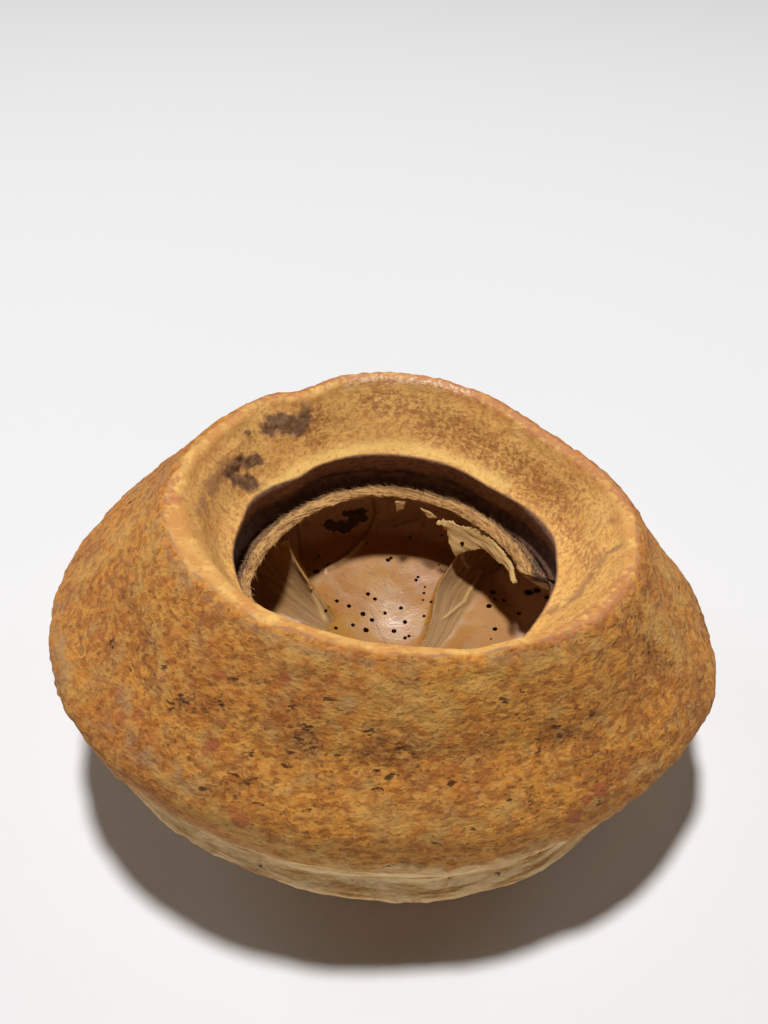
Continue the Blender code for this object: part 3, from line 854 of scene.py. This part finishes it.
def lining_finish(tree):
    """The lining: satin tan skin with worm holes, grey fibrous septa and a torn fibrous edge."""
    place = tree.node("ShaderNodeTexCoord", output="Object")
    flow = tree.node("ShaderNodeAttribute", {"attribute_name": "flow"}, output="Vector")
    masks = {name: tree.mask(name) for name in LINING_MASKS}
    streak = tree.node("ShaderNodeTexNoise", {}, {"Vector": flow, "Scale": 1.0, "Detail": 3.0})
    thread = tree.node("ShaderNodeTexNoise", {}, {"Vector": flow, "Scale": 2.3, "Detail": 2.0})
    fine = tree.grain(place, 0.8, 2)
    middle = tree.grain(place, 5.0, 3, 0.9)
    level_place = tree.stretched(place, (1, 1, 0))
    apart = tree.node("ShaderNodeVectorMath", {"operation": "LENGTH"}, {0: level_place}, "Value")
    dull = apart.between(DULL_BEYOND[0] * MM, DULL_BEYOND[1] * MM)
    skin = tree.layers(SKIN, (
        (tree.grain(place, 13.0, 2, 1.7), 0.38, 0.62, 1, SKIN_ROSE),
        # Painted bounce light: the lining turns paler towards the shaded walls of the hollow.
        (apart, PAINTED_BOUNCE_BEYOND[0] * MM, PAINTED_BOUNCE_BEYOND[1] * MM, 0.9, SKIN_PAINTED_BOUNCE),
        (middle, 0.54, 0.70, 0.5, SKIN_GREY),
        (tree.grain(place, 2.2, 3, 2.9), 0.56, 0.70, 0.35, SKIN_DEEP_AND_CREASE_SHADE),
        (fine, 0.64, 0.72, 0.45, SKIN_DEEP_AND_CREASE_SHADE),
    ))
    fin = tree.layers(FIN, ((streak, 0.36, 0.64, 1, FIN_DEEP), (thread, 0.58, 0.70, 0.25, FIN_PALE_AND_HIGHLIGHT)))
    torn = tree.layers(TORN, ((streak, 0.36, 0.62, 1, TORN_LIGHT), (thread, 0.55, 0.66, 0.75, TORN_DEEP)))
    # Painted shade on the outer slope of the torn edge, in the gap to the wall.
    back = tree.mix(streak.between(0.40, 0.60), EDGE_SHADE, EDGE_SHADE_DEEP)
    mould = masks["mould"] * 0.7 + tree.grain(place, 1.7, 5, 5.2)
    skin = tree.mix(masks["fin"], skin, fin)
    # Painted highlight on lit edges and on the torn strip.
    skin = tree.mix(masks["light"] * 0.8, skin, FIN_PALE_AND_HIGHLIGHT)
    skin = tree.mix(masks["torn"], skin, torn)
    skin = tree.mix(masks["outer"], skin, back)
    skin = tree.layers(skin, ((mould, 0.84, 0.98, 0.9, MOULD),))
    # Painted shade along creases and step edges.
    skin = tree.mix(masks["line"] * 0.7, skin, SKIN_DEEP_AND_CREASE_SHADE)
    # Painted shade inside the insect holes, darker the deeper.
    skin = tree.mix(masks["hole"].between(0.0, 0.8), skin, HOLE_SHADE)
    fibrous = (masks["fin"] + masks["torn"]).between(0.0, 1.0)
    roughness = 0.36 + 0.45 * fibrous + dull * 0.3 + middle.between(0.45, 0.7) * 0.1
    height = (0.3 * fibrous + 0.6 * masks["torn"]) * (streak + thread * 0.8) + fine * 0.16
    return skin, roughness, height


def seen(points, normals):
    """Where points fall in the view, across and down in pixels, and which of them face the camera."""
    turn = np.array(LEAN.to_3x3())
    away = (points - np.array((0, 0, RIM_HEIGHT))) @ turn.T - np.array(CAMERA_PLACE)
    tilt = math.radians(CAMERA_DOWN)
    depth = away[..., 1] * math.cos(tilt) - away[..., 2] * math.sin(tilt)
    up = away[..., 1] * math.sin(tilt) + away[..., 2] * math.cos(tilt)
    across = VIEW_WIDTH / 2 + VIEW_FOCUS * away[..., 0] / depth
    down = VIEW_HEIGHT / 2 - VIEW_FOCUS * up / depth
    return across, down, (((normals @ turn.T) * away).sum(-1) < 0).astype(float)


def painted(marks, view):
    """How strong a mark is at every point: 1 along its line, fading at its half-width in pixels."""
    across, down, facing = view
    strongest = np.zeros_like(across)
    for width, *line in marks:
        for (x0, y0), (x1, y1) in zip(line, line[1:] or line):
            length = max((x1 - x0) ** 2 + (y1 - y0) ** 2, 1e-6)
            share = np.clip(((across - x0) * (x1 - x0) + (down - y0) * (y1 - y0)) / length, 0, 1)
            apart = (across - x0 - share * (x1 - x0)) ** 2 + (down - y0 - share * (y1 - y0)) ** 2
            strongest = np.maximum(strongest, np.exp(-apart / width**2))
    return strongest * facing


def step(values, low, high):
    """0 at low and 1 at high, with a soft step from one to the other."""
    share = np.clip((values - low) / (high - low), 0, 1)
    return share * share * (3 - 2 * share)


def husk_grid():
    """Points of the husk's skin, ring by ring, and which rings are outside, crest and funnel, or wall."""
    angles = np.arange(HUSK_SECTORS) / HUSK_SECTORS * 2 * math.pi
    rows = HUSK_ROWS
    scar = [(SCAR_RADIUS * k / rows["scar"], 0.0) for k in range(1, rows["scar"] + 1)]
    outside = np.vstack([scar, smooth_line(OUTSIDE, rows["outside"])])
    crest = np.vstack([smooth_line(RIM, rows["rim"]), smooth_line(FUNNEL, rows["funnel"])])
    throat = np.vstack([smooth_line(THROAT, rows["throat"]), smooth_line(CREVICE, rows["crevice"])])
    parts = [
        outside_stretch(outside, angles), funnel_stretch(crest, angles), throat_stretch(throat, angles),
        turned(np.array(HUSK_BEHIND), angles),
    ]
    radius = np.vstack([r for r, _ in parts])
    height = np.vstack([h for _, h in parts])
    levels = np.concatenate([outside[:, 1], crest[:, 1], throat[:, 1], np.array(HUSK_BEHIND)[:, 1]])
    ends = (rows["scar"], len(outside), len(outside) + len(crest))
    return placed(radius, height, angles), levels, ends


def crack_places(view, outside):
    """Each crack's ring, sector, length and slope: those that the view shows, then seeded ones."""
    across, down, facing = view
    for px, py, length, slope in CRACKS_SEEN:
        apart = (across[:outside] - px) ** 2 + (down[:outside] - py) ** 2 + 1e6 * (1 - facing[:outside])
        yield *np.unravel_index(np.argmin(apart), apart.shape), length, slope
    chance = random.Random(CRACK_SEED)
    for _ in range(CRACKS_UNSEEN):
        ring = chance.randrange(*(int(outside * share) for share in CRACK_ROWS))
        sector = chance.randrange(HUSK_SECTORS)
        length = chance.uniform(*CRACK_LENGTHS)
        slope = chance.gauss(0, CRACK_SLOPE)
        if facing[ring, sector] == 0 or chance.random() < CRACKS_BETWEEN:
            yield ring, sector, length, slope


def crack_mask(grid, normals, view, outside):
    """1 in the middle of each crack of the cork, fading to its ends and edges."""
    points = grid[:outside].reshape(-1, 3)
    tree = KDTree(len(points))
    for index, point in enumerate(points):
        tree.insert(point, index)
    tree.balance()
    mask = np.zeros(len(points))
    for ring, sector, length, slope in crack_places(view, outside):
        centre = grid[ring, sector]
        normal = normals[ring, sector]
        level = np.cross((0, 0, 1), normal)
        level /= max(np.linalg.norm(level), 1e-6)
        turn = math.radians(slope)
        way = level * math.cos(turn) + np.cross(normal, level) * math.sin(turn)
        near = [index for _, index, _ in tree.find_range(centre, length)]
        offset = points[near] - centre
        along = offset @ way
        aside = offset @ np.cross(normal, way)
        close = np.exp(-((aside / CRACK_WIDTH) ** 2)) * np.clip(1.3 - np.abs(along) / (length / 2), 0, 1)
        mask[near] = np.maximum(mask[near], close)
    whole = np.zeros(grid.shape[:2])
    whole[:outside] = mask.reshape(outside, -1)
    return whole


def husk_masks(grid, normals, levels, ends):
    """Where each finish of the husk shows, as a number from 0 to 1 for each point."""
    _, outside, crest = ends
    view = seen(grid, normals)
    everywhere = np.ones(grid.shape[:2])
    ring = np.arange(len(levels))[:, None]
    level = levels[:, None] + ragged(grid, "level")
    past_rim = ring - outside - HUSK_ROWS["rim"]
    funnel = (past_rim >= 0) * (ring < crest)
    inside = ring >= outside
    masks = {name: painted(marks, view) * inside for name, marks in MOUTH_MARKS.items()}
    masks.update({name: painted(marks, view) * (1 - inside) for name, marks in CORK_MARKS.items()})
    masks["crest"] = step(ring - outside + ragged(grid, "crest"), *CREST_SPAN)
    depth = past_rim / HUSK_ROWS["funnel"] + ragged(grid, "mouth")
    masks["mouth"] = step(depth, *MOUTH_SPAN) * (ring < crest)
    masks["wall"] = (ring >= crest - 1) * everywhere
    # A painted shade line along the crevice under the throat.
    masks["crevice_shade"] = np.exp(-((ring - crest - HUSK_ROWS["throat"] + ragged(grid, "crevice_shade")) ** 2))
    masks["under"] = step(level + ragged(grid, "under"), *UNDER_SPAN) * (1 - inside)
    masks["level"] = levels[:, None] / 100 * everywhere
    ridge_highlight = RIDGE_FAINT + (1 - RIDGE_FAINT) * masks.pop("ridge_highlight")
    masks["ridge"] = np.exp(-(((level - RIDGE_LEVEL) / RIDGE_WIDTH) ** 2)) * ridge_highlight
    masks["mottle"] = np.maximum(masks["mottle"], FUNNEL_MOTTLE * funnel)
    masks["crack"] = crack_mask(grid, normals, view, outside)
    return masks


def make_husk():
    """The husk's skin: corky outside, crest, mouth and throat, with its relief and masks."""
    grid, levels, ends = husk_grid()
    scar, outside, crest = ends
    skin = grid[scar:crest]
    rise = sum(height * noise_at(skin, size) for size, height in LUMPS)
    rise *= np.where(skin[..., 2] > CALM_ABOVE, 0.5, 1.0)
    skin[..., :2] *= (1 + rise / np.maximum(np.hypot(skin[..., 0], skin[..., 1]), 20))[..., None]
    level_scar(grid[:outside])
    normals = grid_normals(grid)
    masks = husk_masks(grid, normals, levels, ends)
    coarse = (1 - CREST_CALM * masks["crest"]) * (1 - UNDER_CALM * masks["under"])
    coarse[: scar + 2] = 0
    coarse *= 1 + DARK_ROUGH * masks["dark"]
    flat = grid * np.array((1, 1, GRAIN_FLATNESS))
    relief = sum(height * noise_at(flat, size, size) for size, height in GRAINS) * coarse
    layered = grid * np.array((FLAKE_STRETCH, FLAKE_STRETCH, 0)) + levels[:, None, None] * np.array((0, 0, 1))
    relief += FLAKE_HEIGHT * np.abs(noise_at(layered, 1.8, 5.0)) * masks["under"] * coarse
    relief -= CRACK_DEPTH * masks["crack"] * (0.6 + noise_at(flat, 1.6, 2.0))
    relief += SCAB_HEIGHT * masks["scab"] * (0.6 + 2.0 * noise_at(grid, 2.0, 4.0))
    relief[crest + HUSK_ROWS["throat"] :] = 0
    mesh = closed_mesh("husk", grid + normals * relief[..., None], (0, 0, 0), (0, 0, HUSK_BACK))
    for name, values in masks.items():
        store(mesh, name, padded(values))
    return add_piece("husk", mesh)


def lining_grid():
    """Points of the lining by rings, their nearness to a septum's edge, their fibres and the first ring."""
    angles = np.arange(LINING_SECTORS) / LINING_SECTORS * 2 * math.pi
    rows = LINING_ROWS
    back_radius, back_height = turned(np.array(LINING_BACK), angles)
    ring = ring_stretch(smooth_line(RING, rows["ring"]), angles)
    cavity = cavity_stretch(smooth_line(CAVITY, rows["cavity"])[:-1], angles)
    radius = np.vstack([back_radius, ring[0], cavity[0]])
    height = np.vstack([back_height, ring[1], cavity[1]])
    face = np.vstack([np.zeros_like(back_radius), np.zeros_like(ring[0]), cavity[2]])
    grid = placed(radius, height, angles)
    start = len(LINING_BACK) + rows["ring"]
    round_pod = RING_RADIUS / THREAD_LENGTH
    across = radius + round_pod * np.cos(angles)
    flow = np.stack([across, height + round_pod * np.sin(angles), height * 0.4], -1)
    number = np.arange(len(radius) - start)[:, None] * np.ones_like(angles)
    flow[start:] = np.stack([face[start:] * FIN_THREADS, number * 0.06, number * 0.02], -1)
    return grid, face, flow, start


def lining_masks(grid, normals, face, start):
    """Where each finish of the lining shows, as a number from 0 to 1 for each point."""
    view = seen(grid, normals)
    ring = np.arange(len(grid))[:, None]
    cavity = (ring >= start + 4).astype(float)
    masks = {name: painted(marks, view) * cavity for name, marks in LINING_MARKS.items()}
    masks["torn"] = step(ring - start + ragged(grid, "torn"), *TORN_SPAN) * (ring >= len(LINING_BACK) - 1)
    angles = np.arange(grid.shape[1]) / grid.shape[1] * 2 * math.pi
    from_axis = np.hypot(grid[..., 0], grid[..., 1]) + ragged(grid, "outer")
    from_axis -= 0.8 * swells(angles, RING_SWELLS)
    # The outer slope of the torn edge, which gets painted shade.
    masks["outer"] = step(from_axis, *OUTER_SPAN) * (1 - cavity)
    masks["fin"] = step(face + ragged(grid, "fin"), *FIN_SPAN) * cavity
    # A painted highlight along each septum's free edge.
    masks["light"] = np.maximum(masks["light"], step(face, *EDGE_SPAN) * cavity)
    return masks


def sighted(skin, bores):
    """Centre, direction and diameter of the insect holes that the view shows on a skin."""
    camera = world((0, 0, RIM_HEIGHT)) / MM + Vector(CAMERA_PLACE)
    tilt = math.radians(CAMERA_DOWN)
    ahead = Vector((0, math.cos(tilt), -math.sin(tilt)))
    up = Vector((0, math.sin(tilt), math.cos(tilt)))
    for px, py, width in bores:
        sight = ahead + Vector((1, 0, 0)) * ((px - VIEW_WIDTH / 2) / VIEW_FOCUS)
        sight += up * ((VIEW_HEIGHT / 2 - py) / VIEW_FOCUS)
        place, normal, _, _ = skin.ray_cast(camera * MM, sight.normalized())
        yield place, normal, width * HOLE_WEAR


def bore_places(skin, spots, mesh):
    """The insect holes that the view shows in the lining, then seeded ones where it can't be seen."""
    yield from sighted(skin, BORES_SEEN)
    chance = random.Random(BORE_SEED)
    for _ in range(BORES_UNSEEN):
        point = mesh.vertices[chance.choice(spots)]
        yield point.co.copy(), point.normal.copy(), chance.uniform(*BORE_WIDTHS)


def geometry_tree(name, numbers):
    """A geometry tree with named number inputs; gives the tree and its inputs by name."""
    group = bpy.data.node_groups.new(name, "GeometryNodeTree")
    group.interface.new_socket("Geometry", in_out="INPUT", socket_type="NodeSocketGeometry")
    group.interface.new_socket("Geometry", in_out="OUTPUT", socket_type="NodeSocketGeometry")
    for label, value in numbers.items():
        kind = "NodeSocketInt" if isinstance(value, int) else "NodeSocketFloat"
        group.interface.new_socket(label, in_out="INPUT", socket_type=kind)
    tree = Tree(group)
    entry = group.nodes.new("NodeGroupInput")
    return tree, {socket.name: Value(tree, socket) for socket in entry.outputs if socket.name}


def shaped_mesh(piece):
    """The plain mesh of a piece with its modifiers."""
    bpy.context.view_layer.update()
    return bpy.data.meshes.new_from_object(piece.evaluated_get(bpy.context.evaluated_depsgraph_get()))


def grown(name, source, tree, shape, numbers, material):
    """The plain mesh that a geometry tree grows on a source mesh."""
    real = tree.node("GeometryNodeRealizeInstances", {}, {"Geometry": shape})
    painted_shape = tree.node("GeometryNodeSetMaterial", {}, {"Geometry": real, "Material": material})
    tree.node("NodeGroupOutput", {}, {"Geometry": painted_shape}, None)
    holder = add_piece(name, source)
    modifier = holder.modifiers.new(name, "NODES")
    modifier.node_group = tree.nodes
    for item in tree.nodes.interface.items_tree:
        if item.in_out == "INPUT" and item.name in numbers:
            modifier[item.identifier] = numbers[item.name]
    mesh = shaped_mesh(holder)
    bpy.data.objects.remove(holder)
    return mesh


def bored(piece, places):
    """Cuts the insect holes in a piece; gives how deep each point of its new mesh lies in a hole, 0 to 1."""
    numbers = {"Length": 2 * BORE_DEPTH * MM, "Sides": BORE_SIDES}
    tree, entry = geometry_tree("bores", numbers)
    rod_sockets = {"Vertices": entry["Sides"], "Radius": 0.5, "Depth": entry["Length"]}
    rod = tree.node("GeometryNodeMeshCylinder", {}, rod_sockets)
    way = tree.node("GeometryNodeInputNamedAttribute", {"data_type": "FLOAT_VECTOR"}, {"Name": "way"})
    width = tree.node("GeometryNodeInputNamedAttribute", {"data_type": "FLOAT"}, {"Name": "width"})
    turn = tree.node("FunctionNodeAlignRotationToVector", {"axis": "Z"}, {"Vector": way})
    scale = tree.node("ShaderNodeCombineXYZ", {}, {0: width, 1: width, 2: 1.0})
    rods_sockets = {"Points": entry["Geometry"], "Instance": rod, "Rotation": turn, "Scale": scale}
    rods = tree.node("GeometryNodeInstanceOnPoints", {}, rods_sockets)
    source = bpy.data.meshes.new("bores")
    source.from_pydata([place for place, _, _ in places], [], [])
    store(source, "width", [width * MM for _, _, width in places])
    store(source, "way", [normal for _, normal, _ in places])
    cutter = add_piece("cutter", grown("bores", source, tree, rods, numbers, None))
    cut = piece.modifiers.new("holes", "BOOLEAN")
    cut.operation = "DIFFERENCE"
    cut.solver = "MANIFOLD"
    cut.object = cutter
    mesh = shaped_mesh(piece)
    piece.modifiers.clear()
    piece.data = mesh
    bpy.data.objects.remove(cutter)
    points = mesh_points(mesh)
    mask = np.zeros(len(points))
    for place, normal, width in places:
        offset = points - np.array(place)
        deep = -(offset @ np.array(normal)) / MM
        aside = np.linalg.norm(offset + np.outer(deep * MM, normal), axis=1) / MM
        inside = (aside < width / 2 * 1.04) * (deep > 0.12) * (deep < BORE_DEPTH + 0.2)
        # The deeper a point lies in a hole, the darker its painted shade.
        mask = np.maximum(mask, np.where(inside, np.clip(deep / HOLE_SHADE_DEPTH, 0, 1), 0))
    return mask


def mesh_points(mesh):
    """The points of a mesh as rows of a table."""
    points = np.empty(len(mesh.vertices) * 3, np.float32)
    mesh.vertices.foreach_get("co", points)
    return points.reshape(-1, 3).astype(float)


def carried(mesh, old_points, columns, flow):
    """Gives a cut mesh the masks and flow of the nearest point of the mesh before the cut."""
    tree = KDTree(len(old_points))
    for index, point in enumerate(old_points):
        tree.insert(point, index)
    tree.balance()
    nearest = np.array([tree.find(point)[1] for point in mesh_points(mesh)])
    for name, values in columns.items():
        store(mesh, name, values[nearest])
    store(mesh, "flow", flow[nearest])


def padded(values):
    """A grid's values as one column for its closed mesh, with a value for either pole."""
    flat = values.reshape(-1, *values.shape[2:])
    return np.concatenate([values[0, :1], flat, values[-1, :1]])


def make_lining():
    """The lining with its relief, masks and insect holes, and the grid and normals of its torn edge."""
    grid, face, flow, start = lining_grid()
    normals = grid_normals(grid)
    masks = lining_masks(grid, normals, face, start)
    ring = np.arange(len(grid))[:, None]
    threads = noise_at(flow * np.array((1.2, 1.2, 0.3)), 1.0, 2.0)
    relief = sum(height * noise_at(grid, size, shift) for size, height, shift in LINING_WAVES)
    relief += masks["torn"] * (TORN_THREADS * threads + TORN_RAGS * np.abs(noise_at(grid, 1.7, 4.0)))
    relief += masks["fin"] * FIN_RELIEF * threads
    relief += LIP_HEIGHT * masks["lip"] + MOULD_HEIGHT * masks["mould"] * noise_at(grid, 1.8, 6.0)
    relief[: len(LINING_BACK)] = 0
    shaped = grid + normals * relief[..., None]
    from_axis = np.hypot(shaped[start:, :, 0], shaped[start:, :, 1])
    shaped[start:, :, 2] -= DIMPLE_DEPTH * np.exp(-((from_axis / DIMPLE_WIDTH) ** 2))
    mesh = closed_mesh("lining", shaped, (0, 0, FLOOR_BACK), (0, 0, FLOOR_HEIGHT - DIMPLE_DEPTH))
    lining = add_piece("lining", mesh)
    skin = BVHTree.FromPolygons([v.co for v in mesh.vertices], [list(p.vertices) for p in mesh.polygons])
    hidden = seen(grid, normals)[1] > HIDDEN_BELOW
    spots = np.argwhere(hidden * (ring > start + 8) * (ring < len(grid) - 12)).tolist()
    sectors = grid.shape[1]
    places = list(bore_places(skin, [1 + r * sectors + s for r, s in spots], mesh))
    old_points = mesh_points(mesh)
    columns = {name: padded(values) for name, values in masks.items()}
    hole = bored(lining, places)
    carried(lining.data, old_points, columns, padded(flow))
    store(lining.data, "hole", hole)
    lining.data.shade_smooth()
    lining.data.set_sharp_from_angle(angle=math.radians(55))
    return lining, shaped[len(LINING_BACK) : start], normals[len(LINING_BACK) : start]


def make_fibres(ring, normals, material):
    """Loose fibres that stand out of the lining's torn edge."""
    numbers = {"Density": FIBRE_DENSITY, "Length": FIBRE_LENGTH * MM, "Width": FIBRE_WIDTH * MM}
    numbers["Seed"] = FIBRE_SEED
    tree, entry = geometry_tree("fibres", numbers)
    spread = {"Mesh": entry["Geometry"], "Density": entry["Density"], "Seed": entry["Seed"]}
    spots = tree.node("GeometryNodeDistributePointsOnFaces", {}, spread)
    fibre_sockets = {"Vertices": 4, "Radius Top": 0.0, "Radius Bottom": entry["Width"]}
    fibre_sockets["Depth"] = entry["Length"]
    fibre = tree.node("GeometryNodeMeshCone", {}, fibre_sockets)
    way = tree.node("GeometryNodeInputNamedAttribute", {"data_type": "FLOAT_VECTOR"}, {"Name": "way"})
    least = tuple(-share for share in FIBRE_STRAY)
    stray_sockets = {"Min": least, "Max": FIBRE_STRAY, "Seed": entry["Seed"]}
    stray = tree.node("FunctionNodeRandomValue", {"data_type": "FLOAT_VECTOR"}, stray_sockets)
    aim = tree.node("ShaderNodeVectorMath", {"operation": "ADD"}, {0: way, 1: stray})
    turn = tree.node("FunctionNodeAlignRotationToVector", {"axis": "Z"}, {"Vector": aim})
    reach = tree.node("FunctionNodeRandomValue", {"data_type": "FLOAT"}, {2: 0.3, 3: 1.0, "Seed": 3}, 1)
    scale = tree.node("ShaderNodeCombineXYZ", {}, {0: 1.0, 1: 1.0, 2: reach})
    fibres_sockets = {"Points": spots, "Instance": fibre, "Rotation": turn, "Scale": scale}
    fibres = tree.node("GeometryNodeInstanceOnPoints", {}, fibres_sockets)
    rows, sectors = ring.shape[:2]
    source = bpy.data.meshes.new("fibre_bed")
    source.from_pydata(in_scene(ring.reshape(-1, 3)), [], ring_faces(rows, sectors))
    level = np.stack([-ring[..., 1], ring[..., 0], 0 * ring[..., 0]], -1)
    level /= np.linalg.norm(level, axis=-1, keepdims=True)
    store(source, "way", ((level * 0.9 + normals * 0.35) @ np.array(LEAN.to_3x3()).T).reshape(-1, 3))
    mesh = grown("fibres", source, tree, fibres, numbers, material)
    store(mesh, "torn", np.ones(len(mesh.vertices)))
    store(mesh, "flow", mesh_points(mesh) / MM)
    return add_piece("edge_fibres", mesh)


def band_point(direction, height, aside):
    """A point on the leaning band that the torn bits follow, moved aside from it by some millimetres."""
    turn = math.radians(direction)
    wave = STRIP_WAVE * noise.noise(Vector((direction / 11, height / 5, 7.0)))
    radius = STRIP_RADIUS + STRIP_LEAN * (height - STRIP_LEVEL) + wave + aside
    return radius * math.cos(turn), radius * math.sin(turn), height


def band_flow(direction, height, side):
    """How the fibres of a torn bit run at a point of it."""
    return height / 0.8, direction * 0.11, side


def finish_torn(piece, flow, bores):
    """Cuts the holes of a torn piece and stores its masks."""
    mesh = piece.data
    skin = BVHTree.FromPolygons([v.co for v in mesh.vertices], [list(p.vertices) for p in mesh.polygons])
    old_points = mesh_points(mesh)
    hole = bored(piece, list(sighted(skin, bores)))
    # The strip takes the septum tone and the painted highlight in full.
    columns = {name: np.ones(len(old_points)) for name in ("fin", "light")}
    carried(piece.data, old_points, columns, padded(flow))
    store(piece.data, "hole", hole)
    piece.data.shade_smooth()
    piece.data.set_sharp_from_angle(angle=math.radians(60))
    return piece


def make_strip():
    """The torn strip of lining, a thin curved band with a ragged outline and one insect hole."""
    low_edge = np.array(STRIP_LOW)
    high_edge = np.array(STRIP_HIGH)
    across = np.linspace(0.03, 0.97, STRIP_ROWS)
    rings = []
    flow = []
    for direction in np.linspace(low_edge[0, 0], low_edge[-1, 0], STRIP_STEPS):
        torn = Vector((direction / 1.6, 3.0, 0.0))
        low = np.interp(direction, *low_edge.T) + STRIP_RAGGED * noise.noise(torn)
        high = np.interp(direction, *high_edge.T) + STRIP_RAGGED * noise.noise(torn * 1.3)
        section = [(-1, share) for share in across] + [(1, share) for share in across[::-1]]
        line = []
        for side, share in section:
            height = low + (high - low) * share
            thick = STRIP_THICKNESS / 2 * (1 - 0.7 * abs(2 * share - 1) ** 3)
            streak = noise.noise(Vector((direction / 9, height / 0.9, side)))
            line.append(band_point(direction, height, side * (thick + 0.3 * streak)))
            flow.append(band_flow(direction, height, side))
        rings.append(line)
    rings = np.array(rings)
    flow = np.array(flow).reshape(len(rings), -1, 3)
    mesh = closed_mesh("torn_strip", rings, rings[0].mean(0), rings[-1].mean(0))
    return finish_torn(add_piece("torn_strip", mesh), flow, STRIP_BORES)


def make_scrap(name, corners):
    """A small flake with a ragged outline."""
    corners = np.array(corners)
    places = np.arange(len(corners) + 1)
    steps = np.linspace(0, len(corners), SCRAP_STEPS, endpoint=False)
    closed = np.vstack([corners, corners[:1]])
    outline = np.stack([np.interp(steps, places, closed[:, 0]), np.interp(steps, places, closed[:, 1])], -1)
    centre = corners.mean(0)
    rings = []
    flow = []
    for side, share in ((-1, 0.5), (-1, 0.9), (-0.4, 1.0), (0.4, 1.0), (1, 0.9), (1, 0.5)):
        ring = []
        for number, corner in enumerate(outline):
            uneven = 1 + SCRAP_RAGGED * noise.noise(Vector((number * 0.8, centre[1], 0.0)))
            direction, height = centre + (corner - centre) * share * uneven
            ring.append(band_point(direction, height, side * SCRAP_THICKNESS / 2))
            flow.append(band_flow(direction, height, side))
        rings.append(ring)
    rings = np.array(rings)
    flow = np.array(flow).reshape(len(rings), -1, 3)
    mesh = closed_mesh(name, rings, rings[0].mean(0), rings[-1].mean(0))
    scrap = add_piece(name, mesh)
    store(mesh, "torn", np.ones(len(mesh.vertices)))
    store(mesh, "flow", padded(flow))
    return scrap


def add_camera():
    """The camera, above and in front of the pod."""
    camera = bpy.data.cameras.new("camera")
    camera.lens = CAMERA_LENS
    camera.sensor_width = CAMERA_SENSOR
    camera.clip_start = CAMERA_NEAREST
    seat = add_piece("camera", camera)
    seat.location = world((0, 0, RIM_HEIGHT)) + Vector(CAMERA_PLACE) * MM
    seat.rotation_euler = (math.radians(90 - CAMERA_DOWN), 0, 0)
    bpy.context.scene.camera = seat


def add_light(name, place, size, power, colour):
    """A soft round light that looks at the pod."""
    lamp = bpy.data.lights.new(name, "AREA")
    lamp.shape = "DISK"
    lamp.size = size
    lamp.energy = power
    lamp.color = colour
    holder = add_piece(name, lamp)
    holder.location = place
    holder.rotation_euler = (Vector(LIGHT_AIM) - Vector(place)).to_track_quat("-Z", "Y").to_euler()


def add_surroundings():
    """The floor, the faint even light all round and the four lamps."""
    bpy.ops.mesh.primitive_plane_add(size=FLOOR_SIZE, location=(0, 2, 0))
    floor = bpy.context.object
    floor.name = "floor"
    paper = bpy.data.materials.new("floor")
    paper.use_nodes = True
    coat = paper.node_tree.nodes["Principled BSDF"].inputs
    coat["Base Color"].default_value = FLOOR_COLOUR
    coat["Roughness"].default_value = FLOOR_ROUGHNESS
    floor.data.materials.append(paper)
    surroundings = bpy.data.worlds.new("studio")
    bpy.context.scene.world = surroundings
    surroundings.use_nodes = True
    sky = surroundings.node_tree.nodes["Background"].inputs
    sky["Color"].default_value = (1, 1, 1, 1)
    sky["Strength"].default_value = SKY_STRENGTH
    for lamp in LIGHTS:
        add_light(*lamp)
    bpy.context.scene.view_settings.view_transform = "Standard"


def main():
    """Builds the pod's pieces, gives them their finishes, hangs them under the body and hides the imported
    pod.
    """
    add_camera()
    add_surroundings()
    cork = finish("cork", CORK_GLOSS, cork_finish)
    skin = finish("lining", SKIN_GLOSS, lining_finish)
    husk = make_husk()
    lining, ring, normals = make_lining()
    torn = [make_strip(), make_fibres(ring, normals, skin)]
    torn += [make_scrap(f"torn_scrap_{number}", corners) for number, corners in enumerate(SCRAPS, 1)]
    finished = [(husk, cork, "husk"), (lining, skin, "lining")] + [(piece, skin, "lining") for piece in torn]
    for piece, material, slot in finished:
        piece.data.materials.clear()
        piece.data.materials.append(material)
        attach(piece, "root")
        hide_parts("pod")


main()
bpy.context.view_layer.update()
